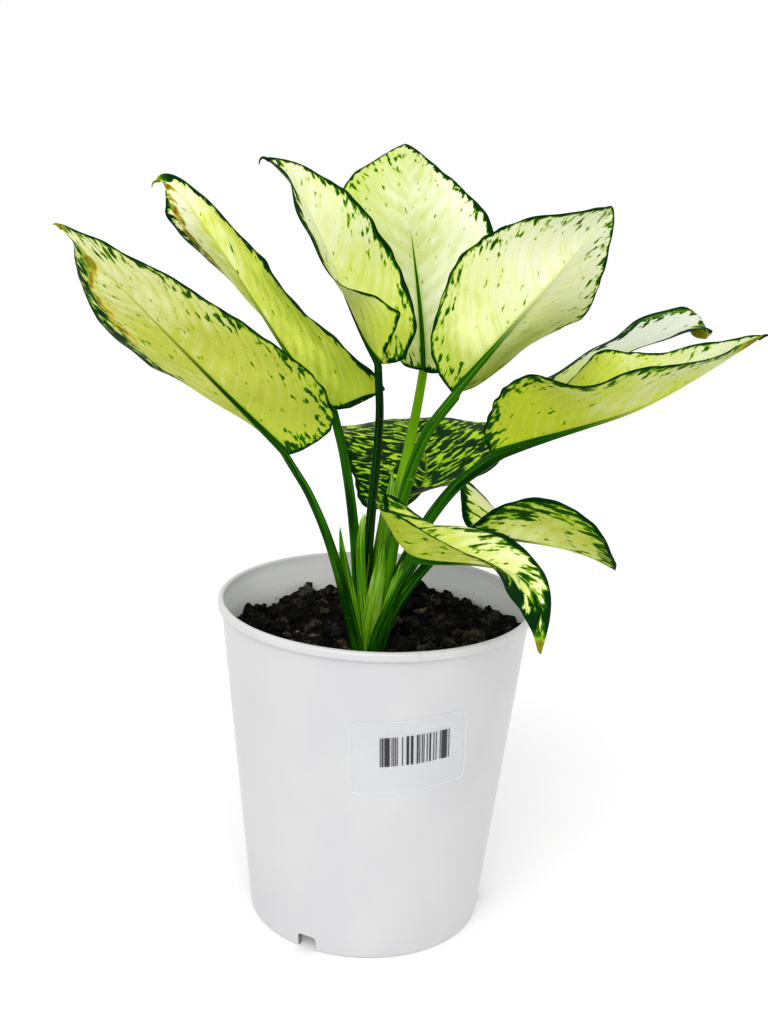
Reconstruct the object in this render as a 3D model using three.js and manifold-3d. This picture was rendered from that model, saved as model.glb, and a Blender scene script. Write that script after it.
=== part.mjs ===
import * as THREE from "three";
import { mergeVertices } from "three/addons/utils/BufferGeometryUtils.js";
import Module from "manifold-3d";

// A leafy house plant with ten leaves in a white nursery pot, in millimetres with Z up.
// The pot stands on Z = 0 round the Z axis, and the sticker on its wall faces -Y.

const wasm = await Module();
wasm.setup();

// Pot
const POT_HEIGHT = 138;
const BASE_RADIUS = 49;
const RIM_RADIUS = 65;
const RIM_HEIGHT = 4;
const RIM_OVERHANG = 1.6;
const WALL = 1.4;
const FLOOR = 1.6;
const CHANNEL_HEIGHT = 8;
const CENTRE_RADIUS = 26;
const FOOT_RING_WIDTH = 2.5;
const CENTRE_DRAFT = 1.8;
const CORNER = 1;
const POT_SIDES = 48;
const DRAIN_HOLES = 6;
const DRAIN_RADIUS = 4;
const DRAIN_CIRCLE = 36;
const NOTCHES = 3;
const NOTCH_WIDTH = 8.5;
const NOTCH_HEIGHT = 6.5;
const NOTCH_CORNER = 1.8;
const NOTCH_TURN = -27;

// Sticker, a film standing a little off the wall
const STICKER_SIZE = [46.7, 31];
const STICKER_CORNER = 2.5;
const STICKER_HEIGHT = 94;
const STICKER_TURN = 15.5;
const STICKER_TILT = 4;
const STICKER_GAP = 0.2;
const STICKER_FILM = 0.3;

// Soil
const SOIL_LEVEL = 125;
const SOIL_GAP = 0.3;
const SOIL_SINK = 1.2;
const SOIL_SLOPE = [0.045, -0.025];
const SOIL_SIDES = 40;
const SOIL_RINGS = [55, 48, 41, 34, 27, 20, 13, 6.5];
const SOIL_LUMPS = [
  { height: 1.8, length: 26, turn: 32 },
  { height: 1.1, length: 11, turn: -30 },
  { height: 0.7, length: 5, turn: 12 },
];

// Crown, where the leaf stalks sit in each other's sheaths
const CROWN_FOOT = [-2, -29.5];
const CROWN_RADIUS = 7;
const CROWN_DEPTH = 17;
const HOLE_GAP = 0.4;
const SHEATH_WALL = 1.1;
const SOCKET_GAP = 0.5;
const SHEATH_OVERLAP = 0.1;

// Leaves
const BLADE_HALF = 0.4;
const EDGE_WIDTH = 0.3;
const BLADE_ROWS = 12;
const HALF_COLUMNS = 4;
const WAVES = 2;
const STALK_SIDES = 6;
const RIB_END = 0.85;
const RIB_TIP = 0.45;
const RIB_SINK = 0.2;
const SHOOT_STOPS = [0, 0.25, 0.5, 0.75, 0.9, 1];
const STALK_STOPS = [0, 0.2, 0.4, 0.6, 0.8, 0.92, 1];
const RIB_STOPS = [0.12, 0.3, 0.5, 0.75, 1];

const PLASTIC = new THREE.Color(0.86, 0.87, 0.88);
const EARTH = new THREE.Color(0.03, 0.022, 0.016);
const PALE_GREEN = new THREE.Color(0.62, 0.74, 0.28);
const OLD_GREEN = new THREE.Color(0.08, 0.2, 0.05);
const STEM_GREEN = new THREE.Color(0.1, 0.28, 0.05);

// Each leaf: three points of its stalk from the soil up, the stalk's radius at the soil and at the
// blade, the share of the stalk that its sheath hides, four points of the midrib from base to tip,
// and the way the upper side faces at base, middle and tip. Each half has its greatest width, how it
// narrows to base and tip, how far its base reaches back, its wave (height and phase), and its fold
// from the midrib and curl to the margin, in degrees at base, middle and tip.
const LEAVES = {
  leaf_a: {
    stalk: [[-5.5, -31.5, 124], [-14, -37, 157], [-22, -43, 182]],
    radius: [2.3, 1.4],
    sheathed: 0.26,
    midrib: [[-35, -44, 207], [-63, -55, 237], [-89, -74, 268], [-110, -79, 289]],
    faces: [[0.6, 0.8, 0], [0.2, 0.55, 0.8], [0.55, 0.55, 0.65]],
    left: bladeHalf(32, [0.45, 0.95], 0.6, [0.5, 0], [32, 3, 5], [4, 12, 7]),
    right: bladeHalf(32, [0.5, 0.9], 0.1, [0.5, 0], [49, -4, 19], [17, 17, 3]),
  },
  leaf_b: {
    stalk: [[-5, -28, 124], [-8, -27, 159], [-12, -25, 189]],
    radius: [2.3, 1.7],
    sheathed: 0.4,
    midrib: [[-19, -24, 221], [-39, -29, 245], [-66, -31, 285], [-87, -20, 302]],
    faces: [[0.6, 0.55, 0.6], [0, 1, 0.2], [-0.55, 0.8, 0.2]],
    left: bladeHalf(23, [0.35, 1.05], 0.9, [1.2, 0.65], [31, 58, 16], [7, 29, 2]),
    right: bladeHalf(23.5, [0.55, 0.85], 0.3, [0.8, 0.7], [61, 64, 8], [11, 18, 4]),
  },
  leaf_c: {
    stalk: [[-4, -27, 124], [-4, -28, 166], [-2, -32, 204]],
    radius: [2.3, 1.5],
    sheathed: 0.36,
    midrib: [[-2, -37, 241], [-16, -25, 264], [-30, -21, 292], [-48, -14, 312]],
    faces: [[0.65, -0.35, 0.7], [0.45, -0.7, 0.55], [0.6, -0.35, 0.7]],
    left: bladeHalf(22.5, [0.25, 1], -0.1, [0.5, 0.7], [62, 36, 42], [70, 15, 2]),
    right: bladeHalf(23.5, [0.25, 0.75], -0.1, [4, 0.05], [-2, 23, 24], [22, 18, 3]),
  },
  leaf_d: {
    stalk: [[-3, -26, 124], [2, -19, 161], [9, -8, 196]],
    radius: [2.4, 1.8],
    sheathed: 0.5,
    midrib: [[15, 2, 233], [11, 14, 266], [6, 21, 295], [4, 37, 319]],
    faces: [[0.05, -0.8, 0.6], [0.05, -0.8, 0.55], [-0.05, -0.8, 0.65]],
    left: bladeHalf(32.5, [0.6, 0.7], 0.3, [0.5, 0.7], [23, 14, -16], [10, 6, 5]),
    right: bladeHalf(34, [0.42, 0.7], 0.6, [0.5, 0.25], [60, 12, -13], [20, 6, -33]),
  },
  leaf_e: {
    stalk: [[-0.5, -30, 124], [5, -31, 165], [11, -34, 200]],
    radius: [2.5, 2],
    sheathed: 0.34,
    midrib: [[25, -37, 231], [41, -46, 253], [56, -55, 275], [76, -54, 301]],
    faces: [[-0.35, 0.8, 0.5], [-0.15, 0.9, 0.35], [-0.45, 0.65, 0.6]],
    left: bladeHalf(30.5, [0.5, 0.7], 0.2, [0.5, 0.7], [30, 20, -10], [17, 21, -10]),
    right: bladeHalf(30.5, [0.45, 0.6], -0.2, [2, 0.9], [26, 26, -8], [17, 29, -18]),
  },
  leaf_f: {
    stalk: [[1, -30, 124], [7, -31, 152], [19, -32, 181]],
    radius: [2.4, 2.2],
    sheathed: 0.46,
    midrib: [[41, -35, 208], [75, -56, 226], [96, -60, 236], [131, -60, 260]],
    faces: [[0.1, 0.65, 0.75], [-0.75, 0.1, 0.65], [-0.05, 0.1, 1]],
    left: bladeHalf(28.5, [0.5, 0.75], 0.3, [1.5, 0.15], [44, 46, 38], [2, -3, 11]),
    right: bladeHalf(28.5, [0.45, 0.7], 0.3, [1.5, 0.9], [61, 41, 26], [2, 1, 6]),
  },
  leaf_g: {
    stalk: [[-0.5, -26.5, 124], [7, -18, 151], [23, -8, 179]],
    radius: [2.3, 1.7],
    sheathed: 0.32,
    midrib: [[49, -4, 203], [72, 1, 230], [109, 0, 252], [127, 9, 249]],
    faces: [[-0.3, -0.4, 0.85], [-0.2, -0.1, 1], [-0.05, -0.55, 0.85]],
    left: bladeHalf(21.5, [0.5, 0.5], 0, [1.5, 0.05], [31, 1, 28], [4, -8, 13]),
    right: bladeHalf(21, [0.5, 1.3], 0.1, [1, 0.9], [28, 10, 12], [4, 0, 6]),
  },
  leaf_h: {
    stalk: [[-2, -25, 124], [-1, -15, 141], [2, -3, 158]],
    radius: [2.3, 1.8],
    sheathed: 0.3,
    midrib: [[6, 9, 175], [19, 39, 187], [11, 71, 197], [17, 104, 187]],
    faces: [[-0.45, 0.1, 0.9], [-0.1, -0.35, 0.95], [-0.2, 0.6, 0.8]],
    left: bladeHalf(34.5, [0.55, 0.55], 0.9, [0.5, 0.9], [11, 9, -13], [-17, 4, -17]),
    right: bladeHalf(34.5, [0.5, 0.55], 0.5, [0.5, 0.55], [28, 7, -3], [-20, -14, -22]),
  },
  leaf_i: {
    stalk: [[-0.5, -33.5, 124], [3, -41, 142], [8, -51, 158]],
    radius: [2.3, 1.8],
    sheathed: 0.34,
    midrib: [[13, -62, 175], [30, -73, 177], [51, -84, 175], [57, -98, 153]],
    faces: [[-0.5, 0.15, 0.85], [-0.3, -0.15, 0.95], [0.45, -0.7, 0.55]],
    left: bladeHalf(22.5, [0.2, 1.4], 1.3, [2, 0.35], [79, 41, 14], [-43, -92, 7]),
    right: bladeHalf(22.5, [0.12, 0.6], 0.9, [0.5, 0.95], [86, 38, 20], [10, 3, 5]),
  },
  leaf_j: {
    stalk: [[1.5, -30, 124], [9, -31, 147], [22, -32, 166]],
    radius: [2.2, 1.7],
    sheathed: 0.46,
    midrib: [[35, -28, 177], [52, -36, 176], [71, -40, 174], [90, -43, 167]],
    faces: [[-0.35, 0.2, 0.9], [-0.1, 0.2, 1], [-0.35, -0.1, 0.95]],
    left: bladeHalf(28, [0.5, 1.25], 1, [2.5, 0.25], [59, -4, 12], [2, -9, 13]),
    right: bladeHalf(28, [1.25, 0.8], 0.4, [1, 0.45], [38, 41, 27], [2, 7, 7]),
  },
};

// Young shoots and free sheath tips between the stalks: four points from the soil up and the radius
// at each of them
const SHOOTS = [
  { path: [[-5, -31, 124], [-8, -32.5, 142], [-11, -34, 160], [-15, -36, 178]], radii: [2, 2, 1.6, 0.4] },
  { path: [[-4, -31, 124], [-4.6, -32.6, 144], [-5.2, -33, 163], [-6, -33, 181]], radii: [2, 2.1, 1.8, 0.4] },
  {
    path: [[-1.5, -31, 124], [-0.8, -33.2, 141], [-0.6, -34, 157], [-1, -34, 171]],
    radii: [2.2, 2.4, 2, 0.4],
  },
];

// Point at t on the cubic through four points at t = 0, 1/3, 2/3 and 1
function cubicPoint(points, t) {
  const weights = [
    -4.5 * (t - 1 / 3) * (t - 2 / 3) * (t - 1),
    13.5 * t * (t - 2 / 3) * (t - 1),
    -13.5 * t * (t - 1 / 3) * (t - 1),
    4.5 * t * (t - 1 / 3) * (t - 2 / 3),
  ];
  const point = new THREE.Vector3();
  weights.forEach((weight, i) => point.addScaledVector(new THREE.Vector3(...points[i]), weight));
  return point;
}

// Shape of one half of a blade
function bladeHalf(width, taper, lobe, wave, fold, curl) {
  return { width, taper, lobe, wave, fold, curl };
}

// Value at t on the quadratic through the values at base, middle and tip
function along(values, t) {
  return values[0] * (2 * t - 1) * (t - 1) + values[1] * 4 * t * (1 - t) + values[2] * t * (2 * t - 1);
}

function radians(degrees) {
  return (degrees * Math.PI) / 180;
}

// Indexed triangles as a geometry
function geometryOf(corners, triangles) {
  const geometry = new THREE.BufferGeometry();
  geometry.setAttribute("position", new THREE.Float32BufferAttribute(corners.flatMap((p) => p.toArray()), 3));
  geometry.setIndex(triangles);
  return geometry;
}

// Closed geometry to a solid, with equal corners merged and triangles of no area dropped
function toSolid(geometry) {
  geometry.deleteAttribute("normal");
  geometry.deleteAttribute("uv");
  const merged = mergeVertices(geometry, 1e-4);
  const triVerts = [];
  for (let i = 0; i < merged.index.count; i += 3) {
    const triangle = [0, 1, 2].map((k) => merged.index.getX(i + k));
    if (new Set(triangle).size === 3) triVerts.push(...triangle);
  }
  const vertProperties = Float32Array.from(merged.attributes.position.array);
  const mesh = new wasm.Mesh({ numProp: 3, vertProperties, triVerts: Uint32Array.from(triVerts) });
  return new wasm.Manifold(mesh);
}

function toGeometry(solid) {
  const mesh = solid.getMesh();
  const geometry = new THREE.BufferGeometry();
  geometry.setAttribute("position", new THREE.Float32BufferAttribute(mesh.vertProperties, 3));
  geometry.setIndex(Array.from(mesh.triVerts));
  geometry.computeVertexNormals();
  return geometry;
}

// The largest body of a solid, without the slivers that a cut leaves
function largestBody(solid) {
  const bodies = solid.decompose();
  return bodies.reduce((best, body) => (body.volume() > best.volume() ? body : best));
}

// Solid of revolution round Z from [radius, height] points, from the axis round to the axis
function turned(profile, sides) {
  const points = profile.map(([radius, height]) => new THREE.Vector2(radius, height));
  return toSolid(new THREE.LatheGeometry(points, sides).rotateX(Math.PI / 2));
}

// Closed tube with a centre and a radius for each ring
function tube(centres, radii, sides) {
  const corners = [];
  const triangles = [];
  let across = new THREE.Vector3(1, 0, 0);
  centres.forEach((centre, i) => {
    const before = centres[Math.max(i - 1, 0)];
    const after = centres[Math.min(i + 1, centres.length - 1)];
    const forward = after.clone().sub(before).normalize();
    across = across.clone().addScaledVector(forward, -across.dot(forward)).normalize();
    const up = new THREE.Vector3().crossVectors(forward, across);
    for (let j = 0; j < sides; j++) {
      const angle = (2 * Math.PI * j) / sides;
      const corner = centre.clone().addScaledVector(across, radii[i] * Math.cos(angle));
      corners.push(corner.addScaledVector(up, radii[i] * Math.sin(angle)));
    }
  });
  const rings = centres.length;
  for (let i = 0; i < rings - 1; i++) {
    for (let j = 0; j < sides; j++) {
      const a = i * sides + j;
      const b = i * sides + ((j + 1) % sides);
      triangles.push(a, b, b + sides, a, b + sides, a + sides);
    }
  }
  const first = corners.push(centres[0].clone()) - 1;
  const last = corners.push(centres[rings - 1].clone()) - 1;
  for (let j = 0; j < sides; j++) {
    const next = (j + 1) % sides;
    triangles.push(first, next, j, last, (rings - 1) * sides + j, (rings - 1) * sides + next);
  }
  return toSolid(geometryOf(corners, triangles));
}

// Radius of the pot's outer wall at a height
function wallRadius(height) {
  const share = height / (POT_HEIGHT - RIM_HEIGHT);
  return BASE_RADIUS + (RIM_RADIUS - RIM_OVERHANG - BASE_RADIUS) * share;
}

function potProfile() {
  const rimBottom = POT_HEIGHT - RIM_HEIGHT;
  const floorTop = CHANNEL_HEIGHT + FLOOR;
  const inner = (height) => wallRadius(height) - WALL;
  return [
    [0, 0],
    [CENTRE_RADIUS, 0],
    [CENTRE_RADIUS + CENTRE_DRAFT, CHANNEL_HEIGHT],
    [BASE_RADIUS - FOOT_RING_WIDTH, CHANNEL_HEIGHT],
    [BASE_RADIUS - FOOT_RING_WIDTH, 0],
    [BASE_RADIUS - CORNER, 0],
    [wallRadius(CORNER), CORNER],
    [wallRadius(rimBottom), rimBottom],
    [RIM_RADIUS - CORNER / 2, rimBottom + CORNER / 4],
    [RIM_RADIUS, rimBottom + CORNER],
    [RIM_RADIUS, POT_HEIGHT - CORNER],
    [RIM_RADIUS - CORNER, POT_HEIGHT],
    [inner(POT_HEIGHT) + CORNER, POT_HEIGHT],
    [inner(POT_HEIGHT - CORNER), POT_HEIGHT - CORNER],
    [inner(floorTop + CORNER), floorTop + CORNER],
    [inner(floorTop) - CORNER, floorTop],
    [CENTRE_RADIUS + CENTRE_DRAFT - CORNER, floorTop],
    [CENTRE_RADIUS - CORNER, FLOOR],
    [0, FLOOR],
  ];
}

// One drainage notch through the foot ring, with rounded upper corners, on the -Y side
function notchSolid() {
  const half = NOTCH_WIDTH / 2;
  const outline = new THREE.Shape();
  outline.moveTo(-half, -1);
  outline.lineTo(half, -1);
  outline.lineTo(half, NOTCH_HEIGHT - NOTCH_CORNER);
  outline.quadraticCurveTo(half, NOTCH_HEIGHT, half - NOTCH_CORNER, NOTCH_HEIGHT);
  outline.lineTo(NOTCH_CORNER - half, NOTCH_HEIGHT);
  outline.quadraticCurveTo(-half, NOTCH_HEIGHT, -half, NOTCH_HEIGHT - NOTCH_CORNER);
  const depth = 3 * FOOT_RING_WIDTH;
  const options = { depth, bevelEnabled: false, curveSegments: 3 };
  const geometry = new THREE.ExtrudeGeometry(outline, options).rotateX(Math.PI / 2);
  return toSolid(geometry.translate(0, depth - BASE_RADIUS - FOOT_RING_WIDTH, 0));
}

function potSolid() {
  let pot = turned(potProfile(), POT_SIDES);
  const drain = new THREE.CylinderGeometry(DRAIN_RADIUS, DRAIN_RADIUS, 4 * FLOOR, 12).rotateX(Math.PI / 2);
  const drainSolid = toSolid(drain.translate(DRAIN_CIRCLE, 0, CHANNEL_HEIGHT + FLOOR / 2));
  for (let i = 0; i < DRAIN_HOLES; i++) {
    pot = pot.subtract(drainSolid.rotate([0, 0, (360 * i) / DRAIN_HOLES]));
  }
  const notch = notchSolid();
  for (let i = 0; i < NOTCHES; i++) {
    pot = pot.subtract(notch.rotate([0, 0, NOTCH_TURN + (360 * i) / NOTCHES]));
  }
  return pot;
}

// Rounded rectangle cut out of a thin skin round the wall
function stickerSolid() {
  const [width, height] = STICKER_SIZE;
  const [left, low, corner] = [-width / 2, -height / 2, STICKER_CORNER];
  const outline = new THREE.Shape();
  outline.moveTo(left + corner, low);
  outline.lineTo(-left - corner, low);
  outline.absarc(-left - corner, low + corner, corner, -Math.PI / 2, 0);
  outline.lineTo(-left, -low - corner);
  outline.absarc(-left - corner, -low - corner, corner, 0, Math.PI / 2);
  outline.lineTo(left + corner, -low);
  outline.absarc(left + corner, -low - corner, corner, Math.PI / 2, Math.PI);
  outline.lineTo(left, low + corner);
  outline.absarc(left + corner, low + corner, corner, Math.PI, 1.5 * Math.PI);
  const options = { depth: RIM_RADIUS, bevelEnabled: false, curveSegments: 3 };
  const cutter = new THREE.ExtrudeGeometry(outline, options).rotateZ(radians(STICKER_TILT));
  cutter.rotateX(Math.PI / 2).translate(0, 0, STICKER_HEIGHT).rotateZ(radians(STICKER_TURN));
  const [bottom, top] = [STICKER_HEIGHT - height, STICKER_HEIGHT + height];
  const skin = turned(
    [
      [wallRadius(bottom) + STICKER_GAP, bottom],
      [wallRadius(bottom) + STICKER_GAP + STICKER_FILM, bottom],
      [wallRadius(top) + STICKER_GAP + STICKER_FILM, top],
      [wallRadius(top) + STICKER_GAP, top],
      [wallRadius(bottom) + STICKER_GAP, bottom],
    ],
    POT_SIDES,
  );
  return skin.intersect(toSolid(cutter));
}

// Height of the soil above its level: a slope and lumps of several sizes that fade out round the crown
function soilLump(x, y) {
  let lumps = SOIL_SLOPE[0] * x + SOIL_SLOPE[1] * y;
  for (const { height, length, turn } of SOIL_LUMPS) {
    const [cos, sin] = [Math.cos(radians(turn)), Math.sin(radians(turn))];
    const [u, v] = [x * cos + y * sin, y * cos - x * sin];
    lumps += height * Math.sin((2 * Math.PI * u) / length) * Math.cos((2 * Math.PI * v) / length);
  }
  const fromCrown = Math.hypot(x - CROWN_FOOT[0], y - CROWN_FOOT[1]);
  return lumps * THREE.MathUtils.smoothstep(fromCrown, CROWN_RADIUS, 3 * CROWN_RADIUS) - SOIL_SINK;
}

function soilSolid() {
  const inner = (height) => wallRadius(height) - WALL - SOIL_GAP;
  const channelTop = CHANNEL_HEIGHT + FLOOR + SOIL_GAP;
  const rings = [
    [CENTRE_RADIUS - CORNER - SOIL_GAP, FLOOR + SOIL_GAP],
    [CENTRE_RADIUS + CENTRE_DRAFT - CORNER - SOIL_GAP, channelTop],
    [inner(channelTop) - CORNER, channelTop],
    [inner(channelTop + CORNER), channelTop + CORNER],
  ];
  const lumpy = rings.length;
  rings.push(...[inner(SOIL_LEVEL), ...SOIL_RINGS].map((radius) => [radius, SOIL_LEVEL]));
  const corners = [];
  const triangles = [];
  rings.forEach(([radius, height], i) => {
    for (let j = 0; j < SOIL_SIDES; j++) {
      const angle = (2 * Math.PI * j) / SOIL_SIDES;
      const [cos, sin] = [Math.cos(angle), Math.sin(angle)];
      const z = height + (i < lumpy ? 0 : soilLump(radius * cos, radius * sin));
      const reach = Math.min(radius, inner(z));
      corners.push(new THREE.Vector3(reach * cos, reach * sin, z));
    }
  });
  for (let i = 0; i < rings.length - 1; i++) {
    for (let j = 0; j < SOIL_SIDES; j++) {
      const a = i * SOIL_SIDES + j;
      const b = i * SOIL_SIDES + ((j + 1) % SOIL_SIDES);
      triangles.push(a, b, b + SOIL_SIDES, a, b + SOIL_SIDES, a + SOIL_SIDES);
    }
  }
  const bottom = corners.push(new THREE.Vector3(0, 0, FLOOR + SOIL_GAP)) - 1;
  const top = corners.push(new THREE.Vector3(0, 0, SOIL_LEVEL + soilLump(0, 0))) - 1;
  const lastRing = (rings.length - 1) * SOIL_SIDES;
  for (let j = 0; j < SOIL_SIDES; j++) {
    const next = (j + 1) % SOIL_SIDES;
    triangles.push(bottom, next, j, top, lastRing + j, lastRing + next);
  }
  const holeDepth = CROWN_DEPTH + HOLE_GAP;
  const holeRadius = CROWN_RADIUS + HOLE_GAP;
  const hole = new THREE.CylinderGeometry(holeRadius, holeRadius, 2 * holeDepth, 20);
  hole.rotateX(Math.PI / 2).translate(...CROWN_FOOT, SOIL_LEVEL);
  return toSolid(geometryOf(corners, triangles)).subtract(toSolid(hole));
}

// Centre line of a leaf's stalk, whose fourth point is the base of the midrib
function stalkPoint(leaf, t) {
  return cubicPoint([...leaf.stalk, leaf.midrib[0]], t);
}

function stalkRadius(leaf, t) {
  return THREE.MathUtils.lerp(leaf.radius[0], leaf.radius[1], t);
}

// Tube round a stretch of a stalk, thicker than the stalk by `extra` at its start and its end
function stalkTube(leaf, from, to, extra, rings) {
  const stops = Array.from({ length: rings + 1 }, (_, i) => i / rings);
  const centres = stops.map((s) => stalkPoint(leaf, THREE.MathUtils.lerp(from, to, s)));
  const radii = stops.map((s) => {
    return stalkRadius(leaf, THREE.MathUtils.lerp(from, to, s)) + THREE.MathUtils.lerp(...extra, s);
  });
  return tube(centres, radii, STALK_SIDES + 1);
}

// Foot, sheaths and shoots in one body, with a socket for each stalk
function crownSolid() {
  const foot = [
    [0, -CROWN_DEPTH],
    [CROWN_RADIUS - 1.5, -CROWN_DEPTH],
    [CROWN_RADIUS, -CROWN_DEPTH + 2],
    [CROWN_RADIUS, 0.5],
    [CROWN_RADIUS - 2, 2.5],
    [0, 3],
  ];
  let crown = turned(foot, 20).translate([...CROWN_FOOT, SOIL_LEVEL]);
  const leaves = Object.values(LEAVES);
  for (const leaf of leaves) {
    const mouth = leaf.sheathed + SHEATH_OVERLAP;
    crown = crown.add(stalkTube(leaf, 0, mouth, [0, SHEATH_WALL], 5));
  }
  for (const shoot of SHOOTS) {
    const centres = SHOOT_STOPS.map((t) => cubicPoint(shoot.path, t));
    const radii = SHOOT_STOPS.map((t) => cubicPoint(shoot.radii.map((radius) => [radius, 0, 0]), t).x);
    crown = crown.add(tube(centres, radii, STALK_SIDES));
  }
  for (const leaf of leaves) {
    const socket = leaf.sheathed - 0.01;
    crown = crown.subtract(stalkTube(leaf, socket, 1, [SOCKET_GAP, SOCKET_GAP], 8));
  }
  return largestBody(crown);
}

// Width of a half at t as a share of its greatest width
function taperShare([toBase, toTip], t) {
  const widest = toBase / (toBase + toTip);
  const inside = THREE.MathUtils.clamp(t, 1e-4, 1 - 1e-4);
  return (inside / widest) ** toBase * ((1 - inside) / (1 - widest)) ** toTip;
}

// Directions at t on a leaf: along the midrib, off the upper side, and to the right-hand half
function bladeFrame(leaf, t) {
  const step = 1e-3;
  const forward = cubicPoint(leaf.midrib, t + step).sub(cubicPoint(leaf.midrib, t - step)).normalize();
  const facing = leaf.faces.map((direction) => new THREE.Vector3(...direction).normalize());
  const off = new THREE.Vector3(
    along(facing.map((v) => v.x), t),
    along(facing.map((v) => v.y), t),
    along(facing.map((v) => v.z), t),
  );
  off.addScaledVector(forward, -off.dot(forward)).normalize();
  return { forward, off, right: new THREE.Vector3().crossVectors(forward, off) };
}

// Points of one half at t, from beside the midrib to the margin
function halfRow(leaf, shape, side, t) {
  const { forward, off, right } = bladeFrame(leaf, t);
  const middle = cubicPoint(leaf.midrib, t);
  const width = shape.width * taperShare(shape.taper, t) + EDGE_WIDTH;
  const fold = radians(along(shape.fold, t));
  const curl = radians(along(shape.curl, t)) * (width / shape.width);
  const wave = shape.wave[0] * Math.sin(2 * Math.PI * (WAVES * t + shape.wave[1]));
  const waveFade = Math.min(1, (1.5 * width) / shape.width);
  const row = [];
  let across = 0;
  let rise = 0;
  for (let column = 1; column <= HALF_COLUMNS; column++) {
    const u = column / HALF_COLUMNS;
    const slope = fold + curl * (u - 0.5 / HALF_COLUMNS);
    across += (Math.cos(slope) * width) / HALF_COLUMNS;
    rise += (Math.sin(slope) * width) / HALF_COLUMNS;
    const tilt = fold + curl * u;
    const ripple = wave * waveFade * u * u;
    const point = middle.clone().addScaledVector(right, side * (across - ripple * Math.sin(tilt)));
    point.addScaledVector(off, rise + ripple * Math.cos(tilt));
    row.push(point.addScaledVector(forward, -shape.lobe * (1 - t) ** 4 * Math.sqrt(u) * width));
  }
  return row;
}

// Middle surface of a blade as rows of points from base to tip, each from left to right margin
function bladeRows(leaf) {
  const rows = [];
  for (let i = 0; i <= BLADE_ROWS; i++) {
    const share = i / BLADE_ROWS;
    const t = 0.5 * share + 0.25 * (1 - Math.cos(Math.PI * share));
    const left = halfRow(leaf, leaf.left, -1, t).reverse();
    rows.push([...left, cubicPoint(leaf.midrib, t), ...halfRow(leaf, leaf.right, 1, t)]);
  }
  return rows;
}

// Blade of even thickness, split into the same triangles on its upper and lower side
function bladeSolid(leaf) {
  const rows = bladeRows(leaf);
  const columns = rows[0].length;
  const count = rows.length * columns;
  const flat = rows.flat();
  const upper = [];
  for (let i = 0; i < rows.length - 1; i++) {
    for (let j = 0; j < columns - 1; j++) {
      const a = i * columns + j;
      const c = a + columns + 1;
      upper.push([a, a + 1, c], [a, c, c - 1]);
    }
  }
  const middle = geometryOf(flat, upper.flat());
  middle.computeVertexNormals();
  const normals = middle.attributes.normal;
  const normalAt = (i) => new THREE.Vector3().fromBufferAttribute(normals, i);
  const shifted = (by) => flat.map((p, i) => p.clone().addScaledVector(normalAt(i), by));
  const corners = [...shifted(BLADE_HALF), ...shifted(-BLADE_HALF)];
  const triangles = upper.flatMap(([a, b, c]) => [a, b, c, a + count, c + count, b + count]);
  const span = (length, at) => Array.from({ length }, (_, i) => at(i));
  const edge = [
    ...span(columns - 1, (j) => j),
    ...span(rows.length - 1, (i) => i * columns + columns - 1),
    ...span(columns - 1, (j) => count - 1 - j),
    ...span(rows.length - 1, (i) => (rows.length - 1 - i) * columns),
  ];
  edge.forEach((p, i) => {
    const q = edge[(i + 1) % edge.length];
    triangles.push(p + count, q + count, q, p + count, q, p);
  });
  return toSolid(geometryOf(corners, triangles));
}

// Stalk from its socket up, running on as the raised midrib under the blade
function stalkSolid(leaf) {
  const centres = [];
  const radii = [];
  const under = (t, radius) => bladeFrame(leaf, t).off.multiplyScalar(RIB_SINK - radius);
  const baseDrop = under(0, leaf.radius[1]);
  for (const share of STALK_STOPS) {
    const t = THREE.MathUtils.lerp(leaf.sheathed, 1, share);
    const drop = THREE.MathUtils.smoothstep(t, 0.8, 1);
    centres.push(stalkPoint(leaf, t).addScaledVector(baseDrop, drop));
    radii.push(stalkRadius(leaf, t));
  }
  for (const share of RIB_STOPS) {
    const t = share * RIB_END;
    const radius = THREE.MathUtils.lerp(leaf.radius[1], RIB_TIP, Math.sqrt(share));
    centres.push(cubicPoint(leaf.midrib, t).add(under(t, radius)));
    radii.push(radius);
  }
  return tube(centres, radii, STALK_SIDES);
}

function leafSolid(leaf) {
  return bladeSolid(leaf).add(stalkSolid(leaf));
}

function part(name, solid, color, roughness, look = {}) {
  const plain = { color, roughness, metalness: 0, flatShading: true };
  const material = new THREE.MeshStandardMaterial({ ...plain, ...look });
  const mesh = new THREE.Mesh(toGeometry(solid), material);
  mesh.name = name;
  return mesh;
}

const plant = new THREE.Group();
plant.add(part("pot", potSolid(), PLASTIC, 0.35));
plant.add(part("soil", soilSolid(), EARTH, 0.95));
plant.add(part("sticker", stickerSolid(), PLASTIC, 0.2, { transparent: true, opacity: 0.4 }));
plant.add(part("crown", crownSolid(), STEM_GREEN, 0.45));
for (const [name, leaf] of Object.entries(LEAVES)) {
  const color = name === "leaf_h" ? OLD_GREEN : PALE_GREEN;
  plant.add(part(name, leafSolid(leaf), color, 0.4, { side: THREE.DoubleSide }));
}

export default plant;
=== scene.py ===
import math
from collections import namedtuple
from functools import partialmethod

import bmesh
import bpy
import numpy as np
from mathutils import Matrix
from mathutils.kdtree import KDTree


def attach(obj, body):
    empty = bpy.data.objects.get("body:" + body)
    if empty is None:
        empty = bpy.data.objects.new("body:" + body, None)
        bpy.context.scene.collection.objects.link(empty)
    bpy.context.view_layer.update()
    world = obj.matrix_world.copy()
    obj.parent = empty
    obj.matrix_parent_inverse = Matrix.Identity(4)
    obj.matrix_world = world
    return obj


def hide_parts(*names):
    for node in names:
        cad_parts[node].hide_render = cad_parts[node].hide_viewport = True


# Looks of a leafy house plant in a white nursery pot, in metres and degrees with Z up.
# Each leaf is a thin blade on a stalk, and its pattern follows the veins through mesh attributes.

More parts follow.
